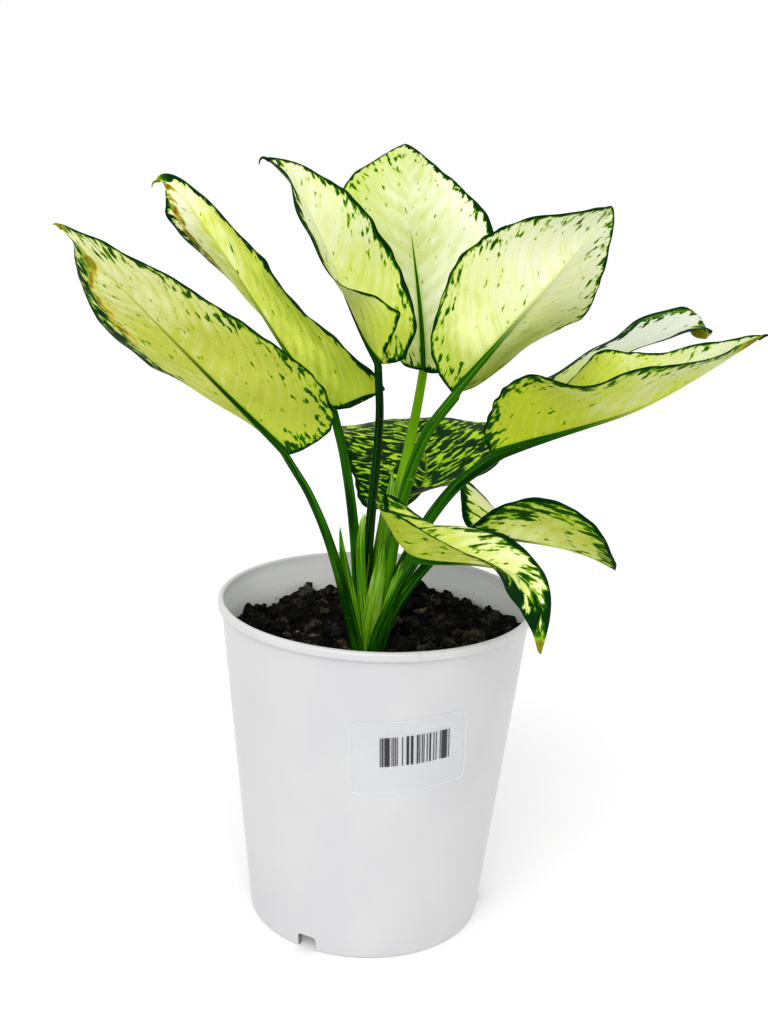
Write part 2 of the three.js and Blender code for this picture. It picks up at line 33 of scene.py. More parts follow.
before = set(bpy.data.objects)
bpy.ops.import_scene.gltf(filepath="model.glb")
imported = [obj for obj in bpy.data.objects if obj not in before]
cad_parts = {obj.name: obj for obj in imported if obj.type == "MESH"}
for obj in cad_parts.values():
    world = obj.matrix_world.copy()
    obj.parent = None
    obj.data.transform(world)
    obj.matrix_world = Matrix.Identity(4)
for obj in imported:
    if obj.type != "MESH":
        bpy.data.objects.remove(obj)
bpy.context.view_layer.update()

# Camera and light
CAMERA_PLACE = (0, -0.5433, 0.3217)
CAMERA_YAW = 0.18
CAMERA_PITCH = -15.17
CAMERA_ROLL = 2.49
CAMERA_LENS = 64.94
CAMERA_SENSOR = 36
FLOOR_RADIUS = 8
FLOOR_SIDES = 96
FLOOR_GLOW = 0.16
WORLD_LIGHT = 1.0
KEY_HEIGHT = 40
KEY_TURN = -10
KEY_SPREAD = 50
KEY_STRENGTH = 2

# Pot
POT_HEIGHT = 0.138
BASE_RADIUS = 0.049
RIM_RADIUS = 0.065
RIM_HEIGHT = 0.004
RIM_OVERHANG = 0.0016
WALL = 0.0014
FLOOR = 0.0016
CHANNEL_HEIGHT = 0.008
CENTRE_RADIUS = 0.026
CENTRE_DRAFT = 0.0018
CENTRE_STEP_TOP = 0.0006
CENTRE_STEP_FOOT = 0.0012
FOOT_RING_WIDTH = 0.0025
FOOT_DRAFT = 0.0004
FOOT_ROUND = 0.001
RIM_ROUND = 0.0011
LIP_ROUND = 0.0014
MOUTH_ROUND = 0.0009
FLOOR_ROUND = 0.0012
INNER_STEPS = (0.1325, 0.129)
STEP_DEPTH = 0.0003
STEP_HALF = 0.0002
IN_WALL = 0.0008
POT_SIDES = 192
WALL_SLOPE = (RIM_RADIUS - RIM_OVERHANG - BASE_RADIUS) / (POT_HEIGHT - RIM_HEIGHT)
DRAIN_HOLES = 6
DRAIN_RADIUS = 0.004
DRAIN_CIRCLE = 0.036
DRAIN_SIDES = 24
NOTCHES = 3
NOTCH_WIDTH = 0.0085
NOTCH_HEIGHT = 0.0065
NOTCH_CORNER = 0.0018
NOTCH_TURN = -27
CUT_PAST = 0.004

# Sticker
STICKER_SIZE = (0.0467, 0.031)
STICKER_CORNER = 0.0025
STICKER_HEIGHT = 0.094
STICKER_TURN = 15.5
STICKER_TILT = 4
STICKER_GAP = 0.00025
STICKER_FILM = 0.00015
STICKER_RINGS = (1, 0.985, 0.95, 0.88, 0.75, 0.6, 0.45, 0.3, 0.15)
BARS_SIZE = (0.028, 0.0125)
BARS_PLACE = (0.002, 0.0025)
BAR_WIDTH = 0.00034
FILM_ALPHA = 0.15
# Opacity at the film's rim, which paints a faint highlight line along its edge
FILM_RIM_HIGHLIGHT_ALPHA = 0.3

# Soil. Each layer of lumps has a height, a size and a seed. The crumbs set in between two distances
# from the pot's axis, and the lumps and the slope between two distances from the crown.
SOIL_LEVEL = 0.125
SOIL_GAP = 0.0003
SOIL_SINK = 0.0004
SOIL_DIP = 0.0008
SOIL_SLOPE = (0.045, -0.025)
SOIL_LUMPS = [(0.0011, 0.014, 1), (0.0009, 0.006, 2), (0.0006, 0.0025, 3)]
WALL_CRUMBS = (0.0011, 0.006, 4)
CRUMBS_FROM = (0.05, 0.062)
LUMPS_FROM = (0.006, 0.014)
SLOPE_FROM = (0.007, 0.024)
SOIL_CHAMFER = 0.0013
SOIL_LOOSE = 0.012
SOIL_SIDES = 300
SOIL_RINGS = 90
CLODS = 900
CHIPS = 34
STREWN_RADIUS = 0.0605
STREWN_EDGE = 0.0612
CROWN_CLEAR = 0.006
LARGE_LUMP = 0.0022
LUMP_ROUGHNESS = 0.22

# Crown, whose rings are shares of its radius from its foot up
CROWN_FOOT = (-0.002, -0.0295)
CROWN_RADIUS = 0.007
CROWN_DEPTH = 0.017
CROWN_RINGS = (0.7, 0.9, 1, 1, 1, 0.98, 0.9, 0.75, 0.5)
SHEATH_PAST = 0.12
SHEATH_WIDE = 1.2
SHEATH_OUT = 0.75
SHEATH_BOW = 0.5
SKIN_BOW = 0.3
SKIN_STOPS = (0, 0.33, 0.67, 1)

# Blades
EDGE_WIDTH = 0.0003
WAVES = 2
BLADE_ROWS = 150
HALF_COLUMNS = 30
BLADE_HALF = 0.00022
MARGIN_HALF = 0.0001
MARGIN_WIDTH = 0.002
MIDRIB_LINE = 0.0017
VEIN_PITCH = 0.0075
VEIN_RISE = 0.18
VEIN_BEND = 1.4

# Relief of a blade
PUFF = 0.00012
GROOVE = 0.0003
GROOVE_WIDTH = 0.0011
RIB_REACH = 0.006
RUFFLE = 0.0003
PUCKER = 0.0005
UNEVEN = 0.0002
UNEVEN_BASE = 0.0005
FULL_WIDTH = 0.01

# Stalks, midribs and skins
STALK_SIDES = 24
STALK_RINGS = 60
STALK_GROOVE = 0.22
STALK_GROOVE_TURN = 0.55
FOOT_SWELL = 0.12
SKIN_HALF = 0.0002
RIB_RINGS = 50
RIB_END = 0.97
RIB_TIP = 0.00012
RIB_DROP = 0.00005

Leaf = namedtuple("Leaf", "stalk radius sheathed midrib faces left right")
Half = namedtuple("Half", "width taper lobe wave fold curl")

# Each leaf: three points of its stalk from the soil up, the stalk's radius at the soil and at the
# blade, the share of the stalk that its sheath hides, four points of the midrib from base to tip,
# and the way the upper side faces at base, middle and tip. Each half has its greatest width, how it
# narrows to base and tip, how far its base reaches back, its wave (height and phase), and its fold
# from the midrib and curl to the margin, in degrees at base, middle and tip.
LEAVES = {
    "leaf_a": Leaf(
        [[-0.0055, -0.0315, 0.124], [-0.014, -0.037, 0.157], [-0.022, -0.043, 0.182]],
        [0.0023, 0.0014], 0.26,
        [[-0.035, -0.044, 0.207], [-0.063, -0.055, 0.237], [-0.089, -0.074, 0.268], [-0.11, -0.079, 0.289]],
        [[0.6, 0.8, 0], [0.2, 0.55, 0.8], [0.55, 0.55, 0.65]],
        Half(0.032, [0.45, 0.95], 0.6, [0.0005, 0], [32, 3, 5], [4, 12, 7]),
        Half(0.032, [0.5, 0.9], 0.1, [0.0005, 0], [49, -4, 19], [17, 17, 3])),
    "leaf_b": Leaf(
        [[-0.005, -0.028, 0.124], [-0.008, -0.027, 0.159], [-0.012, -0.025, 0.189]],
        [0.0023, 0.0017], 0.4,
        [[-0.019, -0.024, 0.221], [-0.039, -0.029, 0.245], [-0.066, -0.031, 0.285], [-0.087, -0.02, 0.302]],
        [[0.6, 0.55, 0.6], [0, 1, 0.2], [-0.55, 0.8, 0.2]],
        Half(0.023, [0.35, 1.05], 0.9, [0.0012, 0.65], [31, 58, 16], [7, 29, 2]),
        Half(0.0235, [0.55, 0.85], 0.3, [0.0008, 0.7], [61, 64, 8], [11, 18, 4])),
    "leaf_c": Leaf(
        [[-0.004, -0.027, 0.124], [-0.004, -0.028, 0.166], [-0.002, -0.032, 0.204]],
        [0.0023, 0.0015], 0.36,
        [[-0.002, -0.037, 0.241], [-0.016, -0.025, 0.264], [-0.03, -0.021, 0.292], [-0.048, -0.014, 0.312]],
        [[0.65, -0.35, 0.7], [0.45, -0.7, 0.55], [0.6, -0.35, 0.7]],
        Half(0.0225, [0.25, 1], -0.1, [0.0005, 0.7], [62, 36, 42], [70, 15, 2]),
        Half(0.0235, [0.25, 0.75], -0.1, [0.004, 0.05], [-2, 23, 24], [22, 18, 3])),
    "leaf_d": Leaf(
        [[-0.003, -0.026, 0.124], [0.002, -0.019, 0.161], [0.009, -0.008, 0.196]],
        [0.0024, 0.0018], 0.5,
        [[0.015, 0.002, 0.233], [0.011, 0.014, 0.266], [0.006, 0.021, 0.295], [0.004, 0.037, 0.319]],
        [[0.05, -0.8, 0.6], [0.05, -0.8, 0.55], [-0.05, -0.8, 0.65]],
        Half(0.0325, [0.6, 0.7], 0.3, [0.0005, 0.7], [23, 14, -16], [10, 6, 5]),
        Half(0.034, [0.42, 0.7], 0.6, [0.0005, 0.25], [60, 12, -13], [20, 6, -33])),
    "leaf_e": Leaf(
        [[-0.0005, -0.03, 0.124], [0.005, -0.031, 0.165], [0.011, -0.034, 0.2]],
        [0.0025, 0.002], 0.34,
        [[0.025, -0.037, 0.231], [0.041, -0.046, 0.253], [0.056, -0.055, 0.275], [0.076, -0.054, 0.301]],
        [[-0.35, 0.8, 0.5], [-0.15, 0.9, 0.35], [-0.45, 0.65, 0.6]],
        Half(0.0305, [0.5, 0.7], 0.2, [0.0005, 0.7], [30, 20, -10], [17, 21, -10]),
        Half(0.0305, [0.45, 0.6], -0.2, [0.002, 0.9], [26, 26, -8], [17, 29, -18])),
    "leaf_f": Leaf(
        [[0.001, -0.03, 0.124], [0.007, -0.031, 0.152], [0.019, -0.032, 0.181]],
        [0.0024, 0.0022], 0.46,
        [[0.041, -0.035, 0.208], [0.075, -0.056, 0.226], [0.096, -0.06, 0.236], [0.131, -0.06, 0.26]],
        [[0.1, 0.65, 0.75], [-0.75, 0.1, 0.65], [-0.05, 0.1, 1]],
        Half(0.0285, [0.5, 0.75], 0.3, [0.0015, 0.15], [44, 46, 38], [2, -3, 11]),
        Half(0.0285, [0.45, 0.7], 0.3, [0.0015, 0.9], [61, 41, 26], [2, 1, 6])),
    "leaf_g": Leaf(
        [[-0.0005, -0.0265, 0.124], [0.007, -0.018, 0.151], [0.023, -0.008, 0.179]],
        [0.0023, 0.0017], 0.32,
        [[0.049, -0.004, 0.203], [0.072, 0.001, 0.23], [0.109, 0, 0.252], [0.127, 0.009, 0.249]],
        [[-0.3, -0.4, 0.85], [-0.2, -0.1, 1], [-0.05, -0.55, 0.85]],
        Half(0.0215, [0.5, 0.5], 0, [0.0015, 0.05], [31, 1, 28], [4, -8, 13]),
        Half(0.021, [0.5, 1.3], 0.1, [0.001, 0.9], [28, 10, 12], [4, 0, 6])),
    "leaf_h": Leaf(
        [[-0.002, -0.025, 0.124], [-0.001, -0.015, 0.141], [0.002, -0.003, 0.158]],
        [0.0023, 0.0018], 0.3,
        [[0.006, 0.009, 0.175], [0.019, 0.039, 0.187], [0.011, 0.071, 0.197], [0.017, 0.104, 0.187]],
        [[-0.45, 0.1, 0.9], [-0.1, -0.35, 0.95], [-0.2, 0.6, 0.8]],
        Half(0.0345, [0.55, 0.55], 0.9, [0.0005, 0.9], [11, 9, -13], [-17, 4, -17]),
        Half(0.0345, [0.5, 0.55], 0.5, [0.0005, 0.55], [28, 7, -3], [-20, -14, -22])),
    "leaf_i": Leaf(
        [[-0.0005, -0.0335, 0.124], [0.003, -0.041, 0.142], [0.008, -0.051, 0.158]],
        [0.0023, 0.0018], 0.34,
        [[0.013, -0.062, 0.175], [0.03, -0.073, 0.177], [0.051, -0.084, 0.175], [0.057, -0.098, 0.153]],
        [[-0.5, 0.15, 0.85], [-0.3, -0.15, 0.95], [0.45, -0.7, 0.55]],
        Half(0.0225, [0.2, 1.4], 1.3, [0.002, 0.35], [79, 41, 14], [-43, -92, 7]),
        Half(0.0225, [0.12, 0.6], 0.9, [0.0005, 0.95], [86, 38, 20], [10, 3, 5])),
    "leaf_j": Leaf(
        [[0.0015, -0.03, 0.124], [0.009, -0.031, 0.147], [0.022, -0.032, 0.166]],
        [0.0022, 0.0017], 0.46,
        [[0.035, -0.028, 0.177], [0.052, -0.036, 0.176], [0.071, -0.04, 0.174], [0.09, -0.043, 0.167]],
        [[-0.35, 0.2, 0.9], [-0.1, 0.2, 1], [-0.35, -0.1, 0.95]],
        Half(0.028, [0.5, 1.25], 1, [0.0025, 0.25], [59, -4, 12], [2, -9, 13]),
        Half(0.028, [1.25, 0.8], 0.4, [0.001, 0.45], [38, 41, 27], [2, 7, 7])),
}

# Thread at a leaf's tip: three points from the tip of the midrib on, in the shared directions
TIP_THREADS = {
    "leaf_a": [[-0.0003, 0, 0.0001], [-0.0009, 0, 0.0002], [-0.0016, 0, 0.0002]],
    "leaf_b": [[-0.0006, 0, 0.0001], [-0.0016, 0, -0.0006], [-0.002, 0, -0.0022]],
    "leaf_c": [[-0.0007, 0, 0.0001], [-0.0018, 0, -0.0006], [-0.0022, 0, -0.0024]],
    "leaf_f": [[0.0006, 0, 0.0002], [0.0016, 0, 0.0003], [0.0026, 0, 0.0001]],
}
THREAD_ROOT = 0.002
THREAD_RADII = (0.0007, 0.0002)
THREAD_RINGS = 24
THREAD_SIDES = 10

# Thin skins of the crown, which are free sheath tips and the sheath of the young leaf: four points
# from the top down into the soil, and the half-width and paleness at each of them
SKINS = [
    ([[-0.0149, -0.036, 0.1778], [-0.0134, -0.036, 0.1664], [-0.0102, -0.0345, 0.1499],
      [-0.0045, -0.0325, 0.124]], [0.0002, 0.0013, 0.0023, 0.0018], [0.45, 0.36, 0.44, 0.5]),
    ([[-0.0057, -0.03, 0.1814], [-0.0067, -0.0315, 0.1673], [-0.0051, -0.033, 0.1476],
      [-0.0027, -0.0325, 0.124]], [0.0010, 0.0017, 0.0022, 0.0018], [0.95, 0.42, 0.45, 0.55]),
    ([[0.0021, -0.033, 0.1702], [0.0004, -0.034, 0.1563], [-0.0014, -0.0345, 0.1421],
      [-0.0027, -0.0325, 0.124]], [0.0007, 0.0028, 0.0034, 0.0014], [0.5, 0.72, 0.6, 0.5]),
    ([[0.0044, -0.014, 0.1954], [0.0032, -0.02, 0.1798], [0.0012, -0.027, 0.1622],
      [-0.0013, -0.0315, 0.124]], [0.0004, 0.0030, 0.0036, 0.002], [0.7, 0.58, 0.44, 0.45]),
    ([[0.0097, -0.033, 0.1645], [0.0074, -0.0345, 0.1547], [0.0044, -0.035, 0.1437],
      [-0.0005, -0.0325, 0.124]], [0.0006, 0.0024, 0.0024, 0.0014], [0.42, 0.6, 0.55, 0.45]),
]

# How pale the sheaths are
USUAL_PALENESS = 0.45
PALE_SHEATHS = {"leaf_c": 0.6, "leaf_d": 0.7, "leaf_e": 0.6, "leaf_g": 0.7}

# Painted pattern of each leaf. grounds runs from the pale colour through the fresh one to the lush
# one, and lushness says how far: at the base, the change to the tip, and the change to the right
# margin. Each side's rim holds the width of its dark margin line, the width of a dark band with lime
# flecks, how far the dashes spread inwards, how dense they are, and the spans at which the rim and
# the band start. specks is the density of dashes all over the blade, slant their angle to the midrib
# in degrees, rib the span at which the dark midrib ends, dark the share of dark ground, size the size
# of the dashes against the usual, and brown the spans beyond which each margin turns brown.
NEVER = (2, 2)
Look = namedtuple("Look", "grounds lushness left right specks slant rib dark size brown",
                  defaults=(0, 1, NEVER))
Rim = namedtuple("Rim", "line band spread dashes start swell", defaults=(-1, -1))

LOOKS = {
    "leaf_a": Look(
        [(222, 224, 168), (184, 192, 74), (166, 178, 58)], (1.0, -1.1, 0),
        Rim(0.0009, 0.0006, 0.010, 0.85), Rim(0.0016, 0.0085, 0.015, 1.0, 0.12, 0.2),
        0.22, 16, 0.6, brown=(0.93, 0.45)),
    "leaf_b": Look(
        [(240, 242, 214), (202, 214, 86), (148, 166, 44)], (1.0, -1.05, -0.35),
        Rim(0.0020, 0.001, 0.004, 0.4), Rim(0.0016, 0.0045, 0.006, 0.7, 0.2, 0.3),
        0.1, 16, 0.5, brown=(0.93, 0.45)),
    "leaf_c": Look(
        [(212, 216, 182), (196, 206, 112), (174, 190, 66)], (0.75, -0.95, 0.05),
        Rim(0.0022, 0.005, 0.007, 1.0, -1, 0.42), Rim(0.0014, 0, 0.008, 0.8),
        0.22, 20, 0.2),
    "leaf_d": Look(
        [(218, 222, 194), (190, 200, 132), (178, 194, 88)], (0.15, 0.38, -0.42),
        Rim(0.0009, 0.0008, 0.013, 0.7), Rim(0.0018, 0.0008, 0.007, 0.75),
        0.12, 24, 0.6),
    "leaf_e": Look(
        [(222, 226, 192), (212, 220, 146), (166, 180, 72)], (0.95, -1.15, 0),
        Rim(0.0009, 0, 0.009, 0.8), Rim(0.0009, 0, 0.009, 0.85),
        0.16, 20, 0.62),
    "leaf_f": Look(
        [(198, 205, 166), (184, 195, 76), (170, 184, 42)], (1.0, -0.95, 0),
        Rim(0.0009, 0, 0.005, 0.6), Rim(0.0011, 0, 0.008, 1.1),
        0.22, 18, 0.3, brown=(2, 0.9)),
    "leaf_g": Look(
        [(194, 199, 184), (186, 198, 124), (164, 184, 66)], (1.6, -2.7, 0.1),
        Rim(0.0055, 0.0035, 0.003, 0.4), Rim(0.0022, 0.005, 0.003, 0.4, -1, 0.7),
        0, 12, 0.3, brown=(0.6, 0.8)),
    "leaf_h": Look(
        [(206, 232, 72), (176, 214, 38), (112, 172, 14)], (0.55, 0, 0),
        Rim(0.002, 0.006, 0.005, 0.3), Rim(0.002, 0.006, 0.005, 0.3),
        0, 64, 0, dark=0.97, size=0.75),
    "leaf_i": Look(
        [(218, 223, 168), (190, 200, 88), (158, 175, 48)], (0.7, -0.75, 0.4),
        Rim(0.0017, 0, 0.011, 0.8), Rim(0.0022, 0.010, 0.008, 0.7, -1, 0.5),
        0.45, 22, 0.3, size=1.25, brown=(0.92, 0.92)),
    "leaf_j": Look(
        [(218, 224, 164), (188, 200, 88), (162, 177, 48)], (0.25, 0, 0.6),
        Rim(0.0014, 0.001, 0.006, 0.8), Rim(0.0018, 0, 0.014, 1.2),
        0.3, 16, 0.3, size=1.4),
}

# Colours as the eye sees them, from 0 to 255, and where each stands along its ramp
LIME = (140, 172, 18)
LEAF_GREEN = (46, 104, 2)
LEAF_DARK = (3, 38, 6)
STRAW = (206, 194, 84)
BROWN = (166, 142, 34)
RUST = (112, 92, 14)
VEIN_PALE = (232, 238, 170)
STALK_DARK = (4, 38, 0)
STALK_LIGHT = (38, 100, 0)
STALK_SPECKS = (150, 190, 70)
STALK_COLOURS = {
    "leaf_c": ((2, 22, 0), (12, 60, 0)),
    "leaf_d": ((84, 136, 0), (122, 172, 4)),
    "leaf_e": ((20, 66, 0), (62, 122, 2)),
}
SHEATH_COLOURS = [
    (0.0, STALK_DARK), (0.3, STALK_LIGHT),
    (0.55, (96, 140, 10)), (0.8, (132, 168, 74)), (1.0, (176, 198, 140))]
SOIL_COLOURS = [
    (0.0, (2, 2, 1)), (0.35, (10, 8, 6)),
    (0.5, (44, 40, 32)), (0.72, (84, 84, 66)), (1.0, (156, 116, 78))]
SOIL_PORES = (3, 2, 2)
POT_WHITES = ((185, 185, 187), (190, 190, 191))
# Lighter white of the pot's inside wall: painted light, for light coming through the thin wall
POT_INSIDE_PAINTED_LIGHT = (222, 222, 223)
SCUFF_GREY = (120, 120, 122)
SPLASH_BROWN = (60, 50, 40)
FILM_CLEAR = (226, 228, 231)
FILM_PRINT = (24, 24, 28)
FLOOR_GREYS = ((214, 214, 214), (218, 218, 218))
WHITE = (255, 255, 255)

# Sizes of the marks on a blade, each along its first and its second direction
PATCHES = (0.012, 0.01)
CLOUDS = (0.03, 0.02)
MOTTLES = (0.003, 0.008)
DASHES = (0.0016, 0.0052)
FLECKS = (0.0026, 0.0085)
DUST = (0.0009, 0.0013)
RAGS = (0.0026, 0.008)
STREAKS = (0.0006, 0.014)


# Arithmetic on points

def unit(vectors):
    """The same directions with a length of one."""
    vectors = np.asarray(vectors, float)
    return vectors / np.linalg.norm(vectors, axis=-1, keepdims=True)


def smooth(value, start, end):
    """0 at start and 1 at end, smooth between them."""
    share = np.clip((value - start) / (end - start), 0, 1)
    return share * share * (3 - 2 * share)


def cubic(points, t):
    """Point at t on the cubic through four points at t = 0, 1/3, 2/3 and 1."""
    t = np.asarray(t, float)[..., None]
    a, b, c, d = (np.asarray(p, float) for p in points)
    near = -4.5 * (t - 1 / 3) * (t - 2 / 3) * (t - 1) * a + 13.5 * t * (t - 2 / 3) * (t - 1) * b
    return near - 13.5 * t * (t - 1 / 3) * (t - 1) * c + 4.5 * t * (t - 1 / 3) * (t - 2 / 3) * d


def along(values, t):
    """Value at t on the quadratic through the values at base, middle and tip."""
    t = np.asarray(t, float)
    a, b, c = (np.asarray(v, float) for v in values)
    if a.ndim:
        t = t[..., None]
    return a * (2 * t - 1) * (t - 1) + b * 4 * t * (1 - t) + c * t * (2 * t - 1)


def circle(sides):
    """Corners of a regular polygon of unit radius round the origin."""
    angle = 2 * math.pi * np.arange(sides) / sides
    return np.stack([np.cos(angle), np.sin(angle)], -1)


def ripples(size, seed, *places):
    """Smooth random relief of about one unit, with bumps of the given size, over any number of axes."""
    draw = np.random.default_rng(seed)
    total = 0
    count = 14
    for _ in range(count):
        direction = unit(draw.normal(size=len(places)))
        length = size * draw.uniform(1.5, 3.5)
        phase = sum(part * place for part, place in zip(direction, places)) / length
        total = total + np.sin(2 * math.pi * (phase + draw.uniform()))
    return total / math.sqrt(count / 2)


# Meshes

def new_piece(name, corners, faces, material, slot, node, attributes=None, sharp=None):
    """Visible piece with a smooth mesh, which replaces the node of the frame with the given name."""
    mesh = bpy.data.meshes.new(name)
    mesh.from_pydata(np.asarray(corners, float).reshape(-1, 3).tolist(), [], faces)
    for key, values in (attributes or {}).items():
        layer = mesh.attributes.new(key, "FLOAT", "POINT")
        layer.data.foreach_set("value", np.asarray(values, np.float32).ravel())
    mesh.shade_smooth()
    if sharp:
        mesh.set_sharp_from_angle(angle=math.radians(sharp))
    mesh.materials.append(material)
    piece = bpy.data.objects.new(name, mesh)
    bpy.context.scene.collection.objects.link(piece)
    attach(piece, "root")
    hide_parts(node)
    return piece


def grid_faces(rows, columns, start=0, closed=False):
    """Quads of a grid of corners, whose columns join up when it is closed."""
    wide = columns if closed else columns - 1
    i, j = np.meshgrid(np.arange(rows - 1), np.arange(wide), indexing="ij")
    a = start + i * columns + j
    b = start + i * columns + (j + 1) % columns
    return np.stack([a, b, b + columns, a + columns], -1).reshape(-1, 4).tolist()


def tube_faces(rings, sides, start=0):
    """Faces of a closed tube, whose two end centres are numbered after the corners of its rings."""
    faces = grid_faces(rings, sides, start, closed=True)
    ends = start + rings * sides
    for j in range(sides):
        following = (j + 1) % sides
        faces.append([ends, start + following, start + j])
        faces.append([ends + 1, ends - sides + j, ends - sides + following])
    return faces


def shell_mesh(front, back, faces, edge):
    """Closed shell between two alike sets of corners, from the front's faces and the run of its edge."""
    count = len(front)
    behind = [[q + count for q in reversed(face)] for face in faces]
    rim = [[p + count, q + count, q, p] for p, q in zip(edge, edge[1:] + edge[:1])]
    return np.concatenate([front, back]), faces + behind + rim


def sheet_mesh(middle, normals, half):
    """Closed thin sheet round a grid of points."""
    rows, columns = middle.shape[:2]
    offset = normals * half[..., None]
    edge = [*range(columns)]
    edge += [i * columns + columns - 1 for i in range(1, rows)]
    edge += [rows * columns - 1 - j for j in range(1, columns)]
    edge += [(rows - 1 - i) * columns for i in range(1, rows - 1)]
    sides = [(middle + offset).reshape(-1, 3), (middle - offset).reshape(-1, 3)]
    return shell_mesh(*sides, grid_faces(rows, columns), edge)


def grid_normals(points):
    """Normals of a grid of points, from its columns' way to its rows' way."""
    return unit(np.cross(np.gradient(points, axis=1), np.gradient(points, axis=0)))


def ring_frames(centres, facing):
    """Across and up directions at each centre of a tube, with up kept near the facing direction."""
    forward = unit(np.gradient(centres, axis=0))
    up = np.asarray(facing, float)
    ups = []
    for direction in forward:
        up = unit(up - direction * np.dot(up, direction))
        ups.append(up)
    ups = np.array(ups)
    return np.cross(forward, ups), ups


def loft_mesh(centres, sideways, upward, facing, start=0):
    """Closed skin over rings of points, each set sideways and upward from its ring's centre."""
    across, up = ring_frames(centres, facing)
    rings = centres[:, None] + sideways[..., None] * across[:, None] + upward[..., None] * up[:, None]
    corners = np.concatenate([rings.reshape(-1, 3), rings[:1].mean(1), rings[-1:].mean(1)])
    return corners, tube_faces(*rings.shape[:2], start)


# Shader values

def linear(colour):
    """Colour as the eye sees it, 0 to 255, to the share of light that it returns."""
    shares = [part / 255 for part in colour]
    return (*(s / 12.92 if s <= 0.04045 else ((s + 0.055) / 1.055) ** 2.4 for s in shares), 1)


def connect(tree, value, socket):
    """Feed a socket with a field, a number, or a colour as the eye sees it."""
    if isinstance(value, Field):
        tree.links.new(value.socket, socket)
    elif isinstance(value, (tuple, list)):
        socket.default_value = linear(value)
    else:
        socket.default_value = value


def new_node(tree, kind, inputs, output=0, **settings):
    """Field that a new shader node gives for its inputs, which go by name or number."""
    node = tree.nodes.new("ShaderNode" + kind)
    for name, setting in settings.items():
        setattr(node, name, setting)
    for key, value in inputs.items():
        connect(tree, value, node.inputs[key])
    return Field(tree, node.outputs[output])


class Field:
    """A value over a surface: a shader socket that takes arithmetic."""

    def __init__(self, tree, socket):
        self.tree = tree
        self.socket = socket

    def put(self, operation, *others):
        inputs = dict(enumerate((self, *others)))
        return new_node(self.tree, "Math", inputs, operation=operation)

    __add__ = __radd__ = partialmethod(put, "ADD")
    __sub__ = partialmethod(put, "SUBTRACT")
    __mul__ = __rmul__ = partialmethod(put, "MULTIPLY")
    __truediv__ = partialmethod(put, "DIVIDE")
    __abs__ = partialmethod(put, "ABSOLUTE")
    most = partialmethod(put, "MAXIMUM")
    least = partialmethod(put, "MINIMUM")
    wave = partialmethod(put, "SINE")
    floor = partialmethod(put, "FLOOR")

    def __rsub__(self, other):
        return self * -1.0 + other

    def step(self, start, end):
        """0 below start and 1 above end, smooth between them."""
        inputs = {"Value": self, "From Min": start, "From Max": end}
        return new_node(self.tree, "MapRange", inputs, interpolation_type="SMOOTHSTEP")


class Surface:
    """A material with one Principled shader and the nodes that feed it."""

    def __init__(self, name, roughness=0.5, specular=0.5):
        self.material = bpy.data.materials.new(name)
        self.material.use_nodes = True
        self.tree = self.material.node_tree
        self.shader = self.tree.nodes["Principled BSDF"]
        self.shader.inputs["Roughness"].default_value = roughness
        self.shader.inputs["Specular IOR Level"].default_value = specular

    def attribute(self, name):
        return new_node(self.tree, "Attribute", {}, "Fac", attribute_name=name)

    def place(self):
        """X, Y and Z in the shared frame."""
        point = new_node(self.tree, "TexCoord", {}, "Object")
        return [new_node(self.tree, "SeparateXYZ", {0: point}, axis) for axis in "XYZ"]

    def noise(self, x, y, z=0.0, detail=2.0, rough=0.5):
        point = new_node(self.tree, "CombineXYZ", {"X": x, "Y": y, "Z": z})
        inputs = {"Vector": point, "Scale": 1, "Detail": detail, "Roughness": rough}
        return new_node(self.tree, "TexNoise", inputs)

    def grain(self, size, *others):
        """Noise in all directions, with bumps of the given size."""
        return self.noise(*(part / size for part in self.place()), *others)

    def dice(self, x):
        """A random value for each whole number."""
        return new_node(self.tree, "TexWhiteNoise", {"W": x}, noise_dimensions="1D")

    def blend(self, share, first, second):
        inputs = {0: share, 6: first, 7: second}
        return new_node(self.tree, "Mix", inputs, 2, data_type="RGBA")

    def ramp(self, share, stops):
        """Colour by share through (share, colour) stops."""
        field = new_node(self.tree, "ValToRGB", {0: share})
        elements = field.socket.node.color_ramp.elements
        while len(elements) < len(stops):
            elements.new(0.5)
        for element, (position, colour) in zip(elements, stops):
            element.position = position
            element.color = linear(colour)
        return field

    def set(self, name, value):
        connect(self.tree, value, self.shader.inputs[name])

    def bump(self, height, depth):
        """Fine relief of a height field, whose unit stands for depth in metres."""
        self.set("Normal", new_node(self.tree, "Bump", {"Height": height, "Distance": depth}))


# Materials

